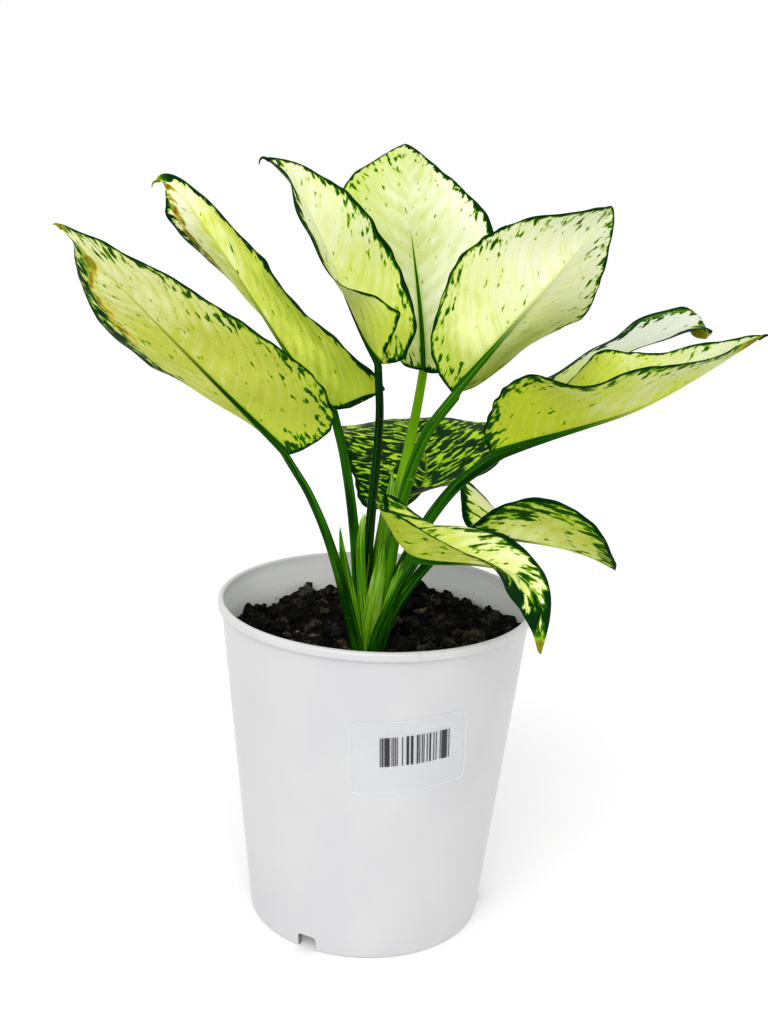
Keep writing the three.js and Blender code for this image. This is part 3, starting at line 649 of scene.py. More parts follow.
class LeafPaint(Surface):
    """Surface of a blade, whose marks lie along its own directions."""

    def __init__(self, name, look):
        super().__init__(name, roughness=0.5, specular=0.02)
        self.look = look
        self.seed = 10.0 * (ord(name[-1]) - ord("a"))
        keys = ("span", "reach", "edge", "along", "across", "vein", "run")
        fields = (self.attribute(key) for key in keys)
        self.span, self.reach, self.edge, self.length, self.across, self.vein, self.run = fields
        self.right = self.reach.step(-0.02, 0.02)
        slant = math.radians(look.slant)
        sine, cosine = math.sin(slant), math.cos(slant)
        self.outward = (self.length * sine - abs(self.across) * cosine) / look.size
        self.onward = (self.length * cosine + abs(self.across) * sine) / look.size
        self.grown = self.span.step(self.rim("swell") - 0.1, self.rim("swell") + 0.1)
        self.patches = self.marks(PATCHES, 0)
        self.ragged = self.slanted(RAGS, 5, 3.0, 0.55)
        self.streaks = self.noise(self.vein / STREAKS[0], self.run / STREAKS[1], self.seed + 11, 3.0)
        self.band_width = self.rim("band") * (1.6 * self.patches + 0.2) * self.grown + 0.00001

    def by_side(self, values):
        return values[0] + self.right * (values[1] - values[0])

    def rim(self, key):
        return self.by_side([getattr(self.look.left, key), getattr(self.look.right, key)])

    def marks(self, size, layer):
        """Soft blotches along the blade."""
        return self.noise(self.length / size[0], self.across / size[1], self.seed + layer)

    def slanted(self, size, layer, *others):
        """Marks that lean away from the midrib on both sides."""
        x, y = self.outward / size[0], self.onward / size[1]
        return self.noise(x, y, self.seed + layer, *others)

    def margin_line(self):
        """Dark line along the margin, ragged on its inner side."""
        start = self.rim("start")
        kept = self.span.step(start - 0.05, start + 0.02)
        share = (self.ragged.step(0.3, 0.7) * 1.3 + 0.4) * (0.4 + 0.6 * self.grown) * kept
        return 1 - (self.edge - self.rim("line") * share).step(-0.0005, 0.0006)

    def bands(self):
        """Dark band inside the margin, or a blade dark all over, with lime flecks."""
        band = 1 - (self.edge / self.band_width).step(0.75, 1.1)
        flecks = self.slanted(FLECKS, 3 + self.right * 30.0, 3.0)
        lime = (flecks + 0.25 * (self.patches - 0.5) - 0.53).step(-0.04, 0.06)
        return (self.look.dark + band).least(1.0) * (1 - 0.97 * lime)

    def dashes(self):
        """Slanted dashes and dots, denser towards the margin."""
        spread = (self.rim("spread") * (2.6 * self.patches - 0.4)).most(0.0001)
        near = (1 - (self.edge / spread).step(0.1, 1.3)) * self.grown
        at_base = 1 - self.span.step(0.02, 0.16)
        density = near * (self.rim("dashes") + 0.25 * at_base)
        density = density + self.look.specks * (0.2 + 1.6 * self.patches)
        grain = self.slanted(DASHES, self.right * 50.0, 2.0, 0.45)
        dashes = (grain - (0.75 - 0.19 * density)).step(-0.09, 0.08)
        dots = (self.slanted(DUST, 4, 1.0) - (0.85 - 0.16 * density)).step(-0.05, 0.06)
        return (dashes * 0.9).most(dots * 0.5)

    def midrib(self):
        """Dark line along the midrib, with a soft edge."""
        end, off = self.look.rib, abs(self.across)
        half = (1 - self.span / end).most(0.0) * MIDRIB_LINE
        core = 1 - (off - half).step(-0.0004, 0.0002)
        halo = 1 - (off - half * 1.6).step(-0.0008, 0.0014)
        return (core * 0.85).most(halo * 0.16) * (1 - self.span.step(0.8 * end, end))

    def ground(self):
        """Pale ground between the marks, with its streaks, paler veins, and painted shade that swells and
        fades between the veins.
        """
        cloudy = self.marks(CLOUDS, 1)
        mottled = self.slanted(MOTTLES, 2, 3.0)
        bent = self.vein + 0.004 * (cloudy - 0.5)
        base, to_tip, to_right = self.look.lushness
        lush = base + to_tip * self.span + to_right * self.reach
        lush = lush + 0.4 * (1 - self.span.step(0.0, 0.3))
        # Painted shade: the ground turns lusher and paler by turns between the veins, for the light on the
        # puffed lamina
        lush = lush + 0.07 * (bent * (2 * math.pi / VEIN_PITCH)).wave()
        lush = lush + 1.0 * (cloudy - 0.5) + 0.7 * (mottled - 0.5)
        colour = self.ramp(lush, list(zip((0.0, 0.5, 1.0), self.look.grounds)))
        deeper = [0.85 * part for part in self.look.grounds[2]]
        colour = self.blend((self.streaks - 0.45).most(0.0) * 0.8, colour, deeper)
        veins = 1 - abs((bent * (math.pi / VEIN_PITCH)).wave()).step(0.0, 0.3)
        return self.blend(veins * (mottled - 0.38).most(0.0) * 0.7, colour, VEIN_PALE)

    def burnt(self):
        """Share of brown, along a line inside the margin and at the tip, and the tip's own share."""
        start = self.by_side(self.look.brown)
        inner = self.edge / (self.band_width + 0.001)
        rust = inner.step(0.6, 0.9) * (1 - inner.step(1.0, 1.4)) * self.ragged.step(0.3, 0.6)
        tip = self.span.step(0.92, 0.97) * self.ragged.step(0.15, 0.4)
        return self.span.step(start - 0.02, start + 0.05) * rust.most(tip), tip


def leaf_material(name, look):
    """Pale blade with soft veins, a dark ragged margin line, bands with flecks, and slanted dashes."""
    paint = LeafPaint(name, look)
    ink = paint.margin_line().most(paint.dashes()).most(paint.bands())
    if look.rib:
        ink = ink.most(paint.midrib())
    burnt, tip = paint.burnt()
    ink = ink * (1 - 0.5 * burnt - 0.4 * tip * burnt)
    scorched = paint.ramp(burnt, [(0.2, STRAW), (0.6, BROWN), (1.0, RUST)])
    ground = paint.blend(burnt.step(0.0, 0.35), paint.ground(), scorched)
    painted = paint.ramp(ink, [(0.22, LIME), (0.6, LEAF_GREEN), (1.0, LEAF_DARK)])
    paint.set("Base Color", paint.blend(ink.step(0.0, 0.3), ground, painted))
    paint.bump(paint.streaks, 0.00006)
    return paint.material


def stalk_material(name, dark, light, tip):
    """Smooth green stalk with soft lighter streaks, whose midrib fades out towards the leaf's tip."""
    surface = Surface(name, roughness=0.4, specular=0.03)
    rise, turn = surface.attribute("rise"), surface.attribute("turn")
    streaks = surface.noise(turn * 2.5, rise * 2, 2.0, 3.0)
    specks = surface.noise(turn * 9, rise * 60, 7.0, 1.0)
    colour = surface.blend(streaks.step(0.38, 0.7), dark, light)
    colour = surface.blend(specks.step(0.72, 0.78) * 0.5, colour, STALK_SPECKS)
    colour = surface.blend(rise.step(1.25, 1.75), colour, tip)
    surface.set("Base Color", colour)
    surface.bump(streaks, 0.0001)
    return surface.material


def crown_material():
    """Thin skin of the sheaths, from the stalks' green through lime to a pale cream green."""
    surface = Surface("crown", roughness=0.4, specular=0.05)
    rise, turn, thin = (surface.attribute(key) for key in ("rise", "turn", "thin"))
    streaks = surface.noise(turn * 2, rise * 2, 2.0, 3.0)
    fine = surface.noise(turn * 7, rise * 5, 5.0, 3.0)
    share = thin - 0.08 + 1.3 * (streaks - 0.5) + 0.9 * (fine - 0.5)
    surface.set("Base Color", surface.ramp(share, SHEATH_COLOURS))
    surface.bump(fine, 0.0001)
    return surface.material


def soil_material(name):
    """Dark damp crumbs with darker pores between them."""
    surface = Surface(name, roughness=0.95, specular=0.1)
    coarse = surface.grain(0.002, 4.0, 0.65)
    fine = surface.grain(0.0007, 4.0, 0.7)
    shade = surface.attribute("shade") + 1.1 * (coarse - 0.5)
    colour = surface.ramp(shade.most(0.0), SOIL_COLOURS)
    surface.set("Base Color", surface.blend(fine.step(0.42, 0.6) * 0.9, colour, SOIL_PORES))
    surface.bump(fine, 0.0016)
    return surface.material


def pot_material():
    """White moulded plastic with faint flow streaks, a few scuffs on the rim, and painted light on its
    inside wall, which is painted lighter as if light shone through the wall.
    """
    surface = Surface("pot_plastic", roughness=0.33, specular=0.5)
    x, y, z = surface.place()
    cloudy = surface.noise(x / 0.03, y / 0.03, z / 0.05, 3.0)
    scuffs = surface.noise(x / 0.006, y / 0.006, z / 0.0009, 4.0, 0.7)
    on_rim = z.step(POT_HEIGHT - RIM_HEIGHT, POT_HEIGHT - RIM_HEIGHT + 0.001)
    worn = (scuffs.step(0.55, 0.72) * on_rim * (x - y).step(0.05, 0.1)) * 0.5
    colour = surface.blend(cloudy.step(0.3, 0.7), *POT_WHITES)
    in_wall = wall_radius(z) - IN_WALL
    inside = 1 - (x * x + y * y - in_wall.put("POWER", 2.0)).step(-2e-5, 0.0)
    # Painted light: the inside wall is blended halfway to a lighter white, for light coming through the
    # thin wall
    colour = surface.blend(inside * 0.5, colour, POT_INSIDE_PAINTED_LIGHT)
    colour = surface.blend(worn, colour, SCUFF_GREY)
    crumbs = surface.grain(0.0011, 1.0) - 0.08 * (z - SOIL_LEVEL) / 0.01
    splashed = crumbs.step(0.71, 0.74) * inside
    surface.set("Base Color", surface.blend(splashed * 0.8, colour, SPLASH_BROWN))
    surface.bump(surface.grain(0.0012, 3.0), 0.00003)
    return surface.material


def film_material():
    """Clear film with a printed block of plain bars, and a painted highlight along its rim, where the film
    is more opaque.
    """
    surface = Surface("clear_film", roughness=0.12, specular=0.5)
    x, y = surface.attribute("sideways"), surface.attribute("upward")
    from_left = x - BARS_PLACE[0] + BARS_SIZE[0] / 2
    up = y - BARS_PLACE[1] + BARS_SIZE[1] / 2
    inside = 1.0
    for start, size in ((from_left, BARS_SIZE[0]), (up, BARS_SIZE[1])):
        inside = start.step(-1e-5, 1e-5) * (size - start).step(-1e-5, 1e-5) * inside
    bars = surface.dice((from_left / BAR_WIDTH).floor()).step(0.5, 0.5001) * inside
    # Painted highlight: the film is more opaque near its rim, so the rim shows as a faint light line
    inner = surface.attribute("edge").step(0.0003, 0.0006)
    surface.set("Base Color", surface.blend(bars, FILM_CLEAR, FILM_PRINT))
    surface.set("Alpha", (FILM_RIM_HIGHLIGHT_ALPHA - (FILM_RIM_HIGHLIGHT_ALPHA - FILM_ALPHA) * inner).most(bars))
    return surface.material


# Leaves

def blade_frame(leaf, t):
    """Directions at t: along the midrib, off the upper side, and to the right-hand half."""
    step = 1e-3
    forward = unit(cubic(leaf.midrib, t + step) - cubic(leaf.midrib, t - step))
    off = along([unit(face) for face in leaf.faces], t)
    off = unit(off - forward * np.sum(off * forward, -1, keepdims=True))
    return forward, off, np.cross(forward, off)


def taper_share(taper, t):
    """Width of a half at t as a share of its greatest width."""
    to_base, to_tip = taper
    widest = to_base / (to_base + to_tip)
    inside = np.clip(t, 1e-4, 1 - 1e-4)
    return (inside / widest) ** to_base * ((1 - inside) / (1 - widest)) ** to_tip


def half_surface(leaf, half, side, t, reach):
    """Points of one half at every t and reach, with the half's width at every t."""
    forward, off, right = (direction[:, None] for direction in blade_frame(leaf, t))
    width = (half.width * taper_share(half.taper, t) + EDGE_WIDTH)[:, None]
    fold = np.radians(along(half.fold, t))[:, None]
    curl = np.radians(along(half.curl, t))[:, None] * width / half.width
    slope = fold + curl * 0.5 * (reach[1:] + reach[:-1])
    strip = width * np.diff(reach)
    start = np.zeros((len(t), 1))
    across = np.hstack([start, np.cumsum(np.cos(slope) * strip, 1)])
    rise = np.hstack([start, np.cumsum(np.sin(slope) * strip, 1)])
    tilt = fold + curl * reach
    wave = half.wave[0] * np.sin(2 * math.pi * (WAVES * t + half.wave[1]))[:, None]
    ripple = wave * np.minimum(1, 1.5 * width / half.width) * reach**2
    sideways = (side * (across - ripple * np.sin(tilt)))[..., None]
    upward = (rise + ripple * np.cos(tilt))[..., None]
    back = (half.lobe * (1 - t[:, None]) ** 4 * np.sqrt(reach) * width)[..., None]
    middle = cubic(leaf.midrib, t)[:, None]
    return middle + right * sideways + off * upward - forward * back, width, back[..., 0]


def margin_distance(flat):
    """Distance of each point of a flattened blade from the nearest point of its margin."""
    finer = np.linspace(0, len(flat) - 1, 6 * len(flat))
    rim = []
    for side in (flat[:, 0], flat[:, -1]):
        rim += [[np.interp(row, range(len(side)), side[:, axis]) for axis in (0, 1)] for row in finer]
    tree = KDTree(len(rim))
    for i, (x, y) in enumerate(rim):
        tree.insert((x, y, 0), i)
    tree.balance()
    near = [tree.find((x, y, 0))[2] for x, y in flat.reshape(-1, 2)]
    return np.array(near).reshape(flat.shape[:2])


def blade_relief(middle, width, seed, layers):
    """Blade with a sunken midrib and veins, puckers, and a ruffled and uneven margin."""
    keys = ("span", "reach", "along", "across", "vein")
    span, reach, length, across, vein = (layers[key] for key in keys)
    size = np.abs(reach)
    away = smooth(np.abs(across), 0, RIB_REACH)
    full = smooth(width, 0, FULL_WIDTH)
    relief = PUFF * np.sin(math.pi * vein / VEIN_PITCH) ** 2 * away * (1 - size**6)
    relief -= GROOVE * np.exp(-((across / GROOVE_WIDTH) ** 2)) * (1 - span)
    relief += RUFFLE * full * size**3 * ripples(0.009, seed, length, 0.5 * across)
    relief += PUCKER * full * away * ripples(0.016, seed + 50, length, across)
    middle = middle + grid_normals(middle) * relief[..., None]
    outward = np.sign(reach)[..., None] * unit(np.gradient(middle, axis=1))
    uneven = (UNEVEN + UNEVEN_BASE * (1 - smooth(span, 0, 0.2))) * full * size**6
    return middle + outward * (uneven * ripples(0.004, seed + 90, length, across))[..., None]


def tip_thread(name, leaf, ribs, start):
    """Thread that carries on from the end of the midrib, whose corners are numbered from start."""
    tip = ribs[-1]
    path = [tip - THREAD_ROOT * unit(tip - ribs[-2]), *(tip + TIP_THREADS[name])]
    t = np.linspace(0, 1, THREAD_RINGS)
    radii = (THREAD_RADII[0] + (THREAD_RADII[1] - THREAD_RADII[0]) * t)[:, None]
    cosine, sine = circle(THREAD_SIDES).T
    facing = blade_frame(leaf, np.array([1.0]))[1][0]
    return loft_mesh(cubic(path, t), radii * sine, radii * cosine, facing, start)


def blade_grid(leaf):
    """Points of a plain blade, the width of the half that each is in, the layers that its pattern
    follows, and the points of its midrib."""
    share = np.linspace(0, 1, BLADE_ROWS + 1)
    t = 0.6 * share + 0.2 * (1 - np.cos(math.pi * share))
    reach = np.linspace(0, 1, HALF_COLUMNS + 1)
    left, left_width, left_back = half_surface(leaf, leaf.left, -1, t, reach)
    right, right_width, right_back = half_surface(leaf, leaf.right, 1, t, reach)
    middle = np.concatenate([left[:, ::-1], right[:, 1:]], 1)
    shape = middle.shape[:2]
    reach = np.concatenate([-reach[::-1], reach[1:]]) * np.ones(shape)
    width = np.where(reach < 0, left_width, right_width)
    back = np.concatenate([left_back[:, ::-1], right_back[:, 1:]], 1)
    ribs = cubic(leaf.midrib, t)
    arc = np.concatenate([[0], np.cumsum(np.linalg.norm(np.diff(ribs, axis=0), axis=1))])
    length = arc[:, None] - back
    across = reach * width
    size = np.abs(reach)
    vein = length - VEIN_RISE * arc[-1] * (size + VEIN_BEND * size**3) + 0.5 * VEIN_PITCH * (reach > 0)
    layers = {
        "span": t[:, None] * np.ones(shape),
        "reach": reach,
        "edge": margin_distance(np.stack([length, across], -1)),
        "along": length,
        "across": across,
        "vein": vein,
        "run": 1.25 * np.abs(across),
    }
    return middle, width, layers, ribs


def blade_piece(name, leaf):
    """Thin blade with sunken veins and a wavy margin, and its thread where it has one."""
    middle, width, layers, ribs = blade_grid(leaf)
    middle = blade_relief(middle, width, ord(name[-1]), layers)
    half = BLADE_HALF + (MARGIN_HALF - BLADE_HALF) * (1 - smooth(layers["edge"], 0, MARGIN_WIDTH))
    corners, faces = sheet_mesh(middle, grid_normals(middle), half)
    attributes = {key: np.concatenate([layer.ravel()] * 2) for key, layer in layers.items()}
    if name in TIP_THREADS:
        thread, skin = tip_thread(name, leaf, ribs, len(corners))
        corners, faces = np.concatenate([corners, thread]), faces + skin
        total = layers["along"][-1, 0]
        at_tip = {"span": 1, "along": total, "vein": total}
        for key, values in attributes.items():
            attributes[key] = np.append(values, np.full(len(thread), at_tip.get(key, 0)))
    material = leaf_material(name, LOOKS[name])
    slot = "old_leaf" if name == "leaf_h" else "pale_leaf"
    new_piece(name + "_blade", corners, faces, material, slot, name, attributes=attributes)


def stalk_line(leaf):
    """Centres and radii of a stalk from the soil up and on under the midrib, with its rise: 0 at the
    soil, 1 at the blade's base and 2 at the tip."""
    base_radius = leaf.radius[1]
    t = np.linspace(0, 1, STALK_RINGS)
    centres = cubic([*leaf.stalk, leaf.midrib[0]], t)
    radii = leaf.radius[0] + (base_radius - leaf.radius[0]) * t
    drop = blade_frame(leaf, np.array([0.0]))[1] * base_radius
    centres = centres - drop * smooth(t, 0.8, 1)[:, None]
    share = np.linspace(0, 1, RIB_RINGS + 1)[1:]
    span = share * RIB_END
    rib_radii = base_radius + (RIB_TIP - base_radius) * share**0.33
    off = blade_frame(leaf, span)[1]
    ribs = cubic(leaf.midrib, span) - off * (rib_radii + RIB_DROP)[:, None]
    rise = np.concatenate([t, 1 + span])
    return np.concatenate([centres, ribs]), np.concatenate([radii, rib_radii]), rise


def stalk_piece(name, leaf):
    """Stalk from the soil up, with a shallow channel along its upper side, that runs on as the
    raised midrib."""
    centres, radii, rise = stalk_line(leaf)
    facing = blade_frame(leaf, np.array([0.0]))[1][0]
    angle = 2 * math.pi * np.arange(STALK_SIDES) / STALK_SIDES
    from_top = np.minimum(angle, 2 * math.pi - angle)
    open_part = smooth(rise, 0.3, 0.6) * (1 - smooth(rise, 0.9, 1.1))
    channel = STALK_GROOVE * np.exp(-((from_top / STALK_GROOVE_TURN) ** 2)) * open_part[:, None]
    foot = 1 + FOOT_SWELL * (1 - smooth(rise, 0, leaf.sheathed + 0.15))
    rings = (radii * foot)[:, None] * (1 - channel)
    corners, faces = loft_mesh(centres, rings * np.sin(angle), rings * np.cos(angle), facing)
    turn = np.tile(np.cos(angle), len(centres)) + ord(name[-1])
    layers = {
        "rise": np.concatenate([np.repeat(rise, STALK_SIDES), rise[:1], rise[-1:]]),
        "turn": np.concatenate([turn, [0, 0]]),
    }
    colours = STALK_COLOURS.get(name, (STALK_DARK, STALK_LIGHT))
    material = stalk_material(name + "_stalk", *colours, LOOKS[name].grounds[1])
    new_piece(name + "_stalk", corners, faces, material, "stem", name, attributes=layers)


# Crown

def crown_piece():
    """Thin sheaths that clasp the feet of the stalks, free sheath tips, and the foot in the soil."""
    cosine, sine = circle(STALK_SIDES).T
    corners, faces = [], []
    layers = {"rise": [], "turn": [], "thin": []}

    def strap(path, widths, thick, bow, facing, thin):
        """Flat strip of the given half-widths, whose sides bend back by a share of its width."""
        start = sum(len(points) for points in corners)
        sideways = widths[:, None] * sine
        upward = thick * cosine - bow * widths[:, None] * sine**2
        points, quads = loft_mesh(path, sideways, upward, facing, start)
        rise = np.linspace(0, 1, len(path))
        corners.append(points)
        faces.extend(quads)
        layers["rise"] += [np.repeat(rise, STALK_SIDES) + start, [0, 0]]
        layers["turn"] += [1000 * sideways.ravel(), [0, 0]]
        layers["thin"] += [np.repeat(thin * np.ones(len(path)), STALK_SIDES), [0, 0]]

    heart = np.mean([leaf.stalk[1] for leaf in LEAVES.values()], 0)
    for name, leaf in LEAVES.items():
        centres, radii, rise = stalk_line(leaf)
        mouth = leaf.sheathed + SHEATH_PAST
        shown = rise <= mouth
        centres, radii = centres[shown], radii[shown]
        share = rise[shown] / mouth
        inward = heart - np.array(leaf.stalk[1]) + [0, 0, 0.02]
        path = centres + SHEATH_OUT * radii[:, None] * ring_frames(centres, inward)[1]
        widths = radii * SHEATH_WIDE * np.sqrt(1.02 - share**3)
        strap(path, widths, SKIN_HALF, SHEATH_BOW, inward, PALE_SHEATHS.get(name, USUAL_PALENESS))
    for points, widths, paleness in SKINS:
        t = np.linspace(0, 1, STALK_RINGS)
        width, thin = (np.interp(t, SKIN_STOPS, values) for values in (widths, paleness))
        rounded = width * np.sqrt(np.minimum(1, 0.04 + t / 0.08))
        strap(cubic(points, t), rounded, SKIN_HALF, SKIN_BOW, (0, -1, 0.2), thin)
    depth = np.linspace(0, 1, len(CROWN_RINGS))
    foot = [[*CROWN_FOOT, SOIL_LEVEL - CROWN_DEPTH * (1 - 1.1 * share)] for share in depth]
    rings = CROWN_RADIUS * np.array(CROWN_RINGS)
    strap(np.array(foot), rings, rings[:, None], 0, (0, 1, 0), 0.2)
    attributes = {key: np.concatenate(values) for key, values in layers.items()}
    corners = np.concatenate(corners)
    new_piece("crown_sheaths", corners, faces, crown_material(), "stem", "crown", attributes=attributes)


# Pot and sticker

def wall_radius(height):
    return BASE_RADIUS + WALL_SLOPE * height


def inner_radius(height):
    return wall_radius(height) - WALL


def arc_points(centre, radius, start, end, count):
    """Points on an arc in a profile, in degrees from the outward direction."""
    angles = np.radians(np.linspace(start, end, count))
    return [[centre[0] + radius * math.cos(a), centre[1] + radius * math.sin(a)] for a in angles]


def pot_profile():
    """Outline of the pot from the middle of its underside over the rim to the middle of its floor."""
    rim_bottom = POT_HEIGHT - RIM_HEIGHT
    floor_top = CHANNEL_HEIGHT + FLOOR
    mouth = inner_radius(POT_HEIGHT) + MOUTH_ROUND + STEP_HALF
    profile = [
        [0, 0],
        [CENTRE_RADIUS, 0],
        [CENTRE_RADIUS + CENTRE_DRAFT, CHANNEL_HEIGHT],
        [BASE_RADIUS - FOOT_RING_WIDTH - FOOT_DRAFT, CHANNEL_HEIGHT],
        [BASE_RADIUS - FOOT_RING_WIDTH, 0],
        *arc_points((BASE_RADIUS - FOOT_ROUND, FOOT_ROUND), FOOT_ROUND, -90, 0, 5),
        *[[wall_radius(z), z] for z in np.linspace(0.003, rim_bottom - 0.0004, 24)],
        [wall_radius(rim_bottom) + 0.0001, rim_bottom],
        *arc_points((RIM_RADIUS - RIM_ROUND, rim_bottom + RIM_ROUND), RIM_ROUND, -80, 0, 6),
        *arc_points((RIM_RADIUS - LIP_ROUND, POT_HEIGHT - LIP_ROUND), LIP_ROUND, 0, 90, 8),
        *arc_points((mouth, POT_HEIGHT - MOUTH_ROUND), MOUTH_ROUND, 90, 180, 6),
    ]
    for height in INNER_STEPS:
        wall = inner_radius(height)
        profile += [[wall + STEP_DEPTH, height + STEP_HALF], [wall, height - STEP_HALF]]
    profile += [[inner_radius(z), z] for z in np.linspace(0.12, floor_top + FLOOR_ROUND, 12)]
    return profile + [
        [inner_radius(floor_top) - FLOOR_ROUND, floor_top],
        [CENTRE_RADIUS + CENTRE_STEP_TOP, floor_top],
        [CENTRE_RADIUS - CENTRE_STEP_FOOT, FLOOR],
        [0, FLOOR],
    ]


def lathe_mesh(profile, sides):
    """Closed solid of revolution from a profile that starts and ends on the axis."""
    turned = circle(sides)
    inside = np.array(profile[1:-1])
    rings = [np.column_stack([radius * turned, np.full(sides, height)]) for radius, height in inside]
    ends = [[0, 0, profile[0][1]], [0, 0, profile[-1][1]]]
    return np.concatenate([*rings, ends]), tube_faces(len(inside), sides)


def plain_object(name, corners, faces):
    """Object without a material that is no piece of the plant."""
    mesh = bpy.data.meshes.new(name)
    mesh.from_pydata(np.asarray(corners).tolist(), [], faces)
    item = bpy.data.objects.new(name, mesh)
    bpy.context.scene.collection.objects.link(item)
    return item


def notch_cutter():
    """Prism through the foot ring with rounded upper corners, on the -Y side before it is turned."""
    half = NOTCH_WIDTH / 2
    centre = (half - NOTCH_CORNER, NOTCH_HEIGHT - NOTCH_CORNER)
    right = arc_points(centre, NOTCH_CORNER, 0, 90, 7)
    outline = [[half, -0.001], *right, *[[-x, z] for x, z in reversed(right)], [-half, -0.001]]
    near, far = ([[x, past - BASE_RADIUS, z] for x, z in outline] for past in (-CUT_PAST, CUT_PAST))
    around = [*range(len(outline))]
    return shell_mesh(near, far, [around], around)


def drain_cutter():
    """Round plug through the raised channel, on the +X side before it is turned."""
    ring = DRAIN_RADIUS * circle(DRAIN_SIDES) + [DRAIN_CIRCLE, 0]
    top, bottom = ([[x, y, CHANNEL_HEIGHT + past] for x, y in ring] for past in (CUT_PAST, -CUT_PAST))
    around = [*range(DRAIN_SIDES)]
    return shell_mesh(top, bottom, [around], around)


def pot_piece():
    """Turned shell of the pot with its notches and drain holes cut out."""
    corners, faces = lathe_mesh(pot_profile(), POT_SIDES)
    pot = new_piece("pot_shell", corners, faces, pot_material(), "pot_plastic", "pot", sharp=50)
    cutters = []
    for mesh, count, first in ((notch_cutter(), NOTCHES, NOTCH_TURN), (drain_cutter(), DRAIN_HOLES, 0)):
        for i in range(count):
            cutter = plain_object("cutter", *mesh)
            cutter.matrix_world = Matrix.Rotation(math.radians(first + 360 * i / count), 4, "Z")
            cutters.append(cutter)
    for cutter in cutters:
        cut = pot.modifiers.new("cut", "BOOLEAN")
        cut.object = cutter
        cut.solver = "EXACT"
    bpy.context.view_layer.update()
    whole = pot.evaluated_get(bpy.context.evaluated_depsgraph_get())
    mesh = bpy.data.meshes.new_from_object(whole)
    pot.modifiers.clear()
    pot.data = mesh
    mesh.set_sharp_from_angle(angle=math.radians(50))
    for cutter in cutters:
        bpy.data.objects.remove(cutter)


def sticker_piece():
    """Thin film with round corners, curved round the wall and printed with plain bars."""
    width, height = STICKER_SIZE
    centre = (width / 2 - STICKER_CORNER, height / 2 - STICKER_CORNER)
    quarter = arc_points(centre, STICKER_CORNER, 0, 90, 7)
    top = [[x, centre[1] + STICKER_CORNER] for x in np.linspace(centre[0], -centre[0], 24)[1:-1]]
    upper = [*quarter, *top, *[[-x, z] for x, z in reversed(quarter)]]
    side = [[-width / 2, z] for z in np.linspace(centre[1], -centre[1], 12)[1:-1]]
    half = [*upper, *side]
    outline = np.array([*half, *[[-x, -z] for x, z in half]])
    flat = np.concatenate([*(outline * share for share in STICKER_RINGS), [[0, 0]]])
    tilt, turn = math.radians(STICKER_TILT), math.radians(STICKER_TURN)
    x = flat[:, 0] * math.cos(tilt) - flat[:, 1] * math.sin(tilt)
    z = flat[:, 0] * math.sin(tilt) + flat[:, 1] * math.cos(tilt) + STICKER_HEIGHT

    def on_wall(gap):
        y = -np.sqrt((wall_radius(z) + gap) ** 2 - x**2)
        cosine, sine = math.cos(turn), math.sin(turn)
        return np.stack([x * cosine - y * sine, x * sine + y * cosine, z], -1)

    around = len(outline)
    front = grid_faces(len(STICKER_RINGS), around, closed=True)
    last = (len(STICKER_RINGS) - 1) * around
    front += [[last + around, last + j, last + (j + 1) % around] for j in range(around)]
    sides = on_wall(STICKER_GAP + STICKER_FILM), on_wall(STICKER_GAP)
    mesh = shell_mesh(*sides, front, [*range(around)])
    inwards = [np.full(around, (1 - share) * height / 2) for share in STICKER_RINGS]
    edge = np.concatenate([*inwards, [height / 2]])
    layers = {"sideways": flat[:, 0], "upward": flat[:, 1], "edge": edge}
    attributes = {key: np.concatenate([layer, layer]) for key, layer in layers.items()}
    new_piece("sticker_film", *mesh, film_material(), "clear_film", "sticker",
              attributes=attributes, sharp=60)


# Soil

def soil_height(x, y):
    """Height of the loose surface: a slope, lumps of several sizes, and ragged crumbs at the wall."""
    def relief(height, size, seed):
        return height * ripples(size, seed, x, y)

    from_crown = np.hypot(x - CROWN_FOOT[0], y - CROWN_FOOT[1])
    lumps = sum(relief(*layer) for layer in SOIL_LUMPS) * smooth(from_crown, *LUMPS_FROM)
    slope = SOIL_SLOPE[0] * x + SOIL_SLOPE[1] * y - SOIL_DIP
    crumbs = relief(*WALL_CRUMBS) * smooth(np.hypot(x, y), *CRUMBS_FROM)
    return SOIL_LEVEL - SOIL_SINK + lumps + slope * smooth(from_crown, *SLOPE_FROM) + crumbs


def soil_bed_piece():
    """Body of the soil, from its rough surface down to the pot's floor."""
    def inner(height):
        return inner_radius(height) - SOIL_GAP

    channel_top = CHANNEL_HEIGHT + FLOOR + SOIL_GAP
    low = [
        [CENTRE_RADIUS - CENTRE_STEP_FOOT - SOIL_GAP, FLOOR + SOIL_GAP],
        [CENTRE_RADIUS + CENTRE_STEP_TOP - SOIL_GAP, channel_top],
        [inner(channel_top) - SOIL_CHAMFER, channel_top],
        [inner(channel_top + SOIL_CHAMFER), channel_top + SOIL_CHAMFER],
        [inner(SOIL_LEVEL - SOIL_LOOSE), SOIL_LEVEL - SOIL_LOOSE],
    ]
    turned = circle(SOIL_SIDES)
    rings = [np.column_stack([radius * turned, np.full(SOIL_SIDES, height)]) for radius, height in low]
    for radius in np.linspace(inner(SOIL_LEVEL), 0.0006, SOIL_RINGS):
        height = soil_height(*(radius * turned.T))
        kept_in = np.minimum(radius, inner(height))
        rings.append(np.column_stack([kept_in[:, None] * turned, height]))
    top = soil_height(np.array([0.0]), np.array([0.0]))[0]
    corners = np.concatenate([*rings, [[0, 0, FLOOR + SOIL_GAP], [0, 0, top]]])
    shade = 0.22 + 0.12 * ripples(0.004, 9, corners[:, 0], corners[:, 1])
    faces = tube_faces(len(rings), SOIL_SIDES)
    new_piece("soil_bed", corners, faces, soil_material("soil"), "soil", "soil",
              attributes={"shade": shade})


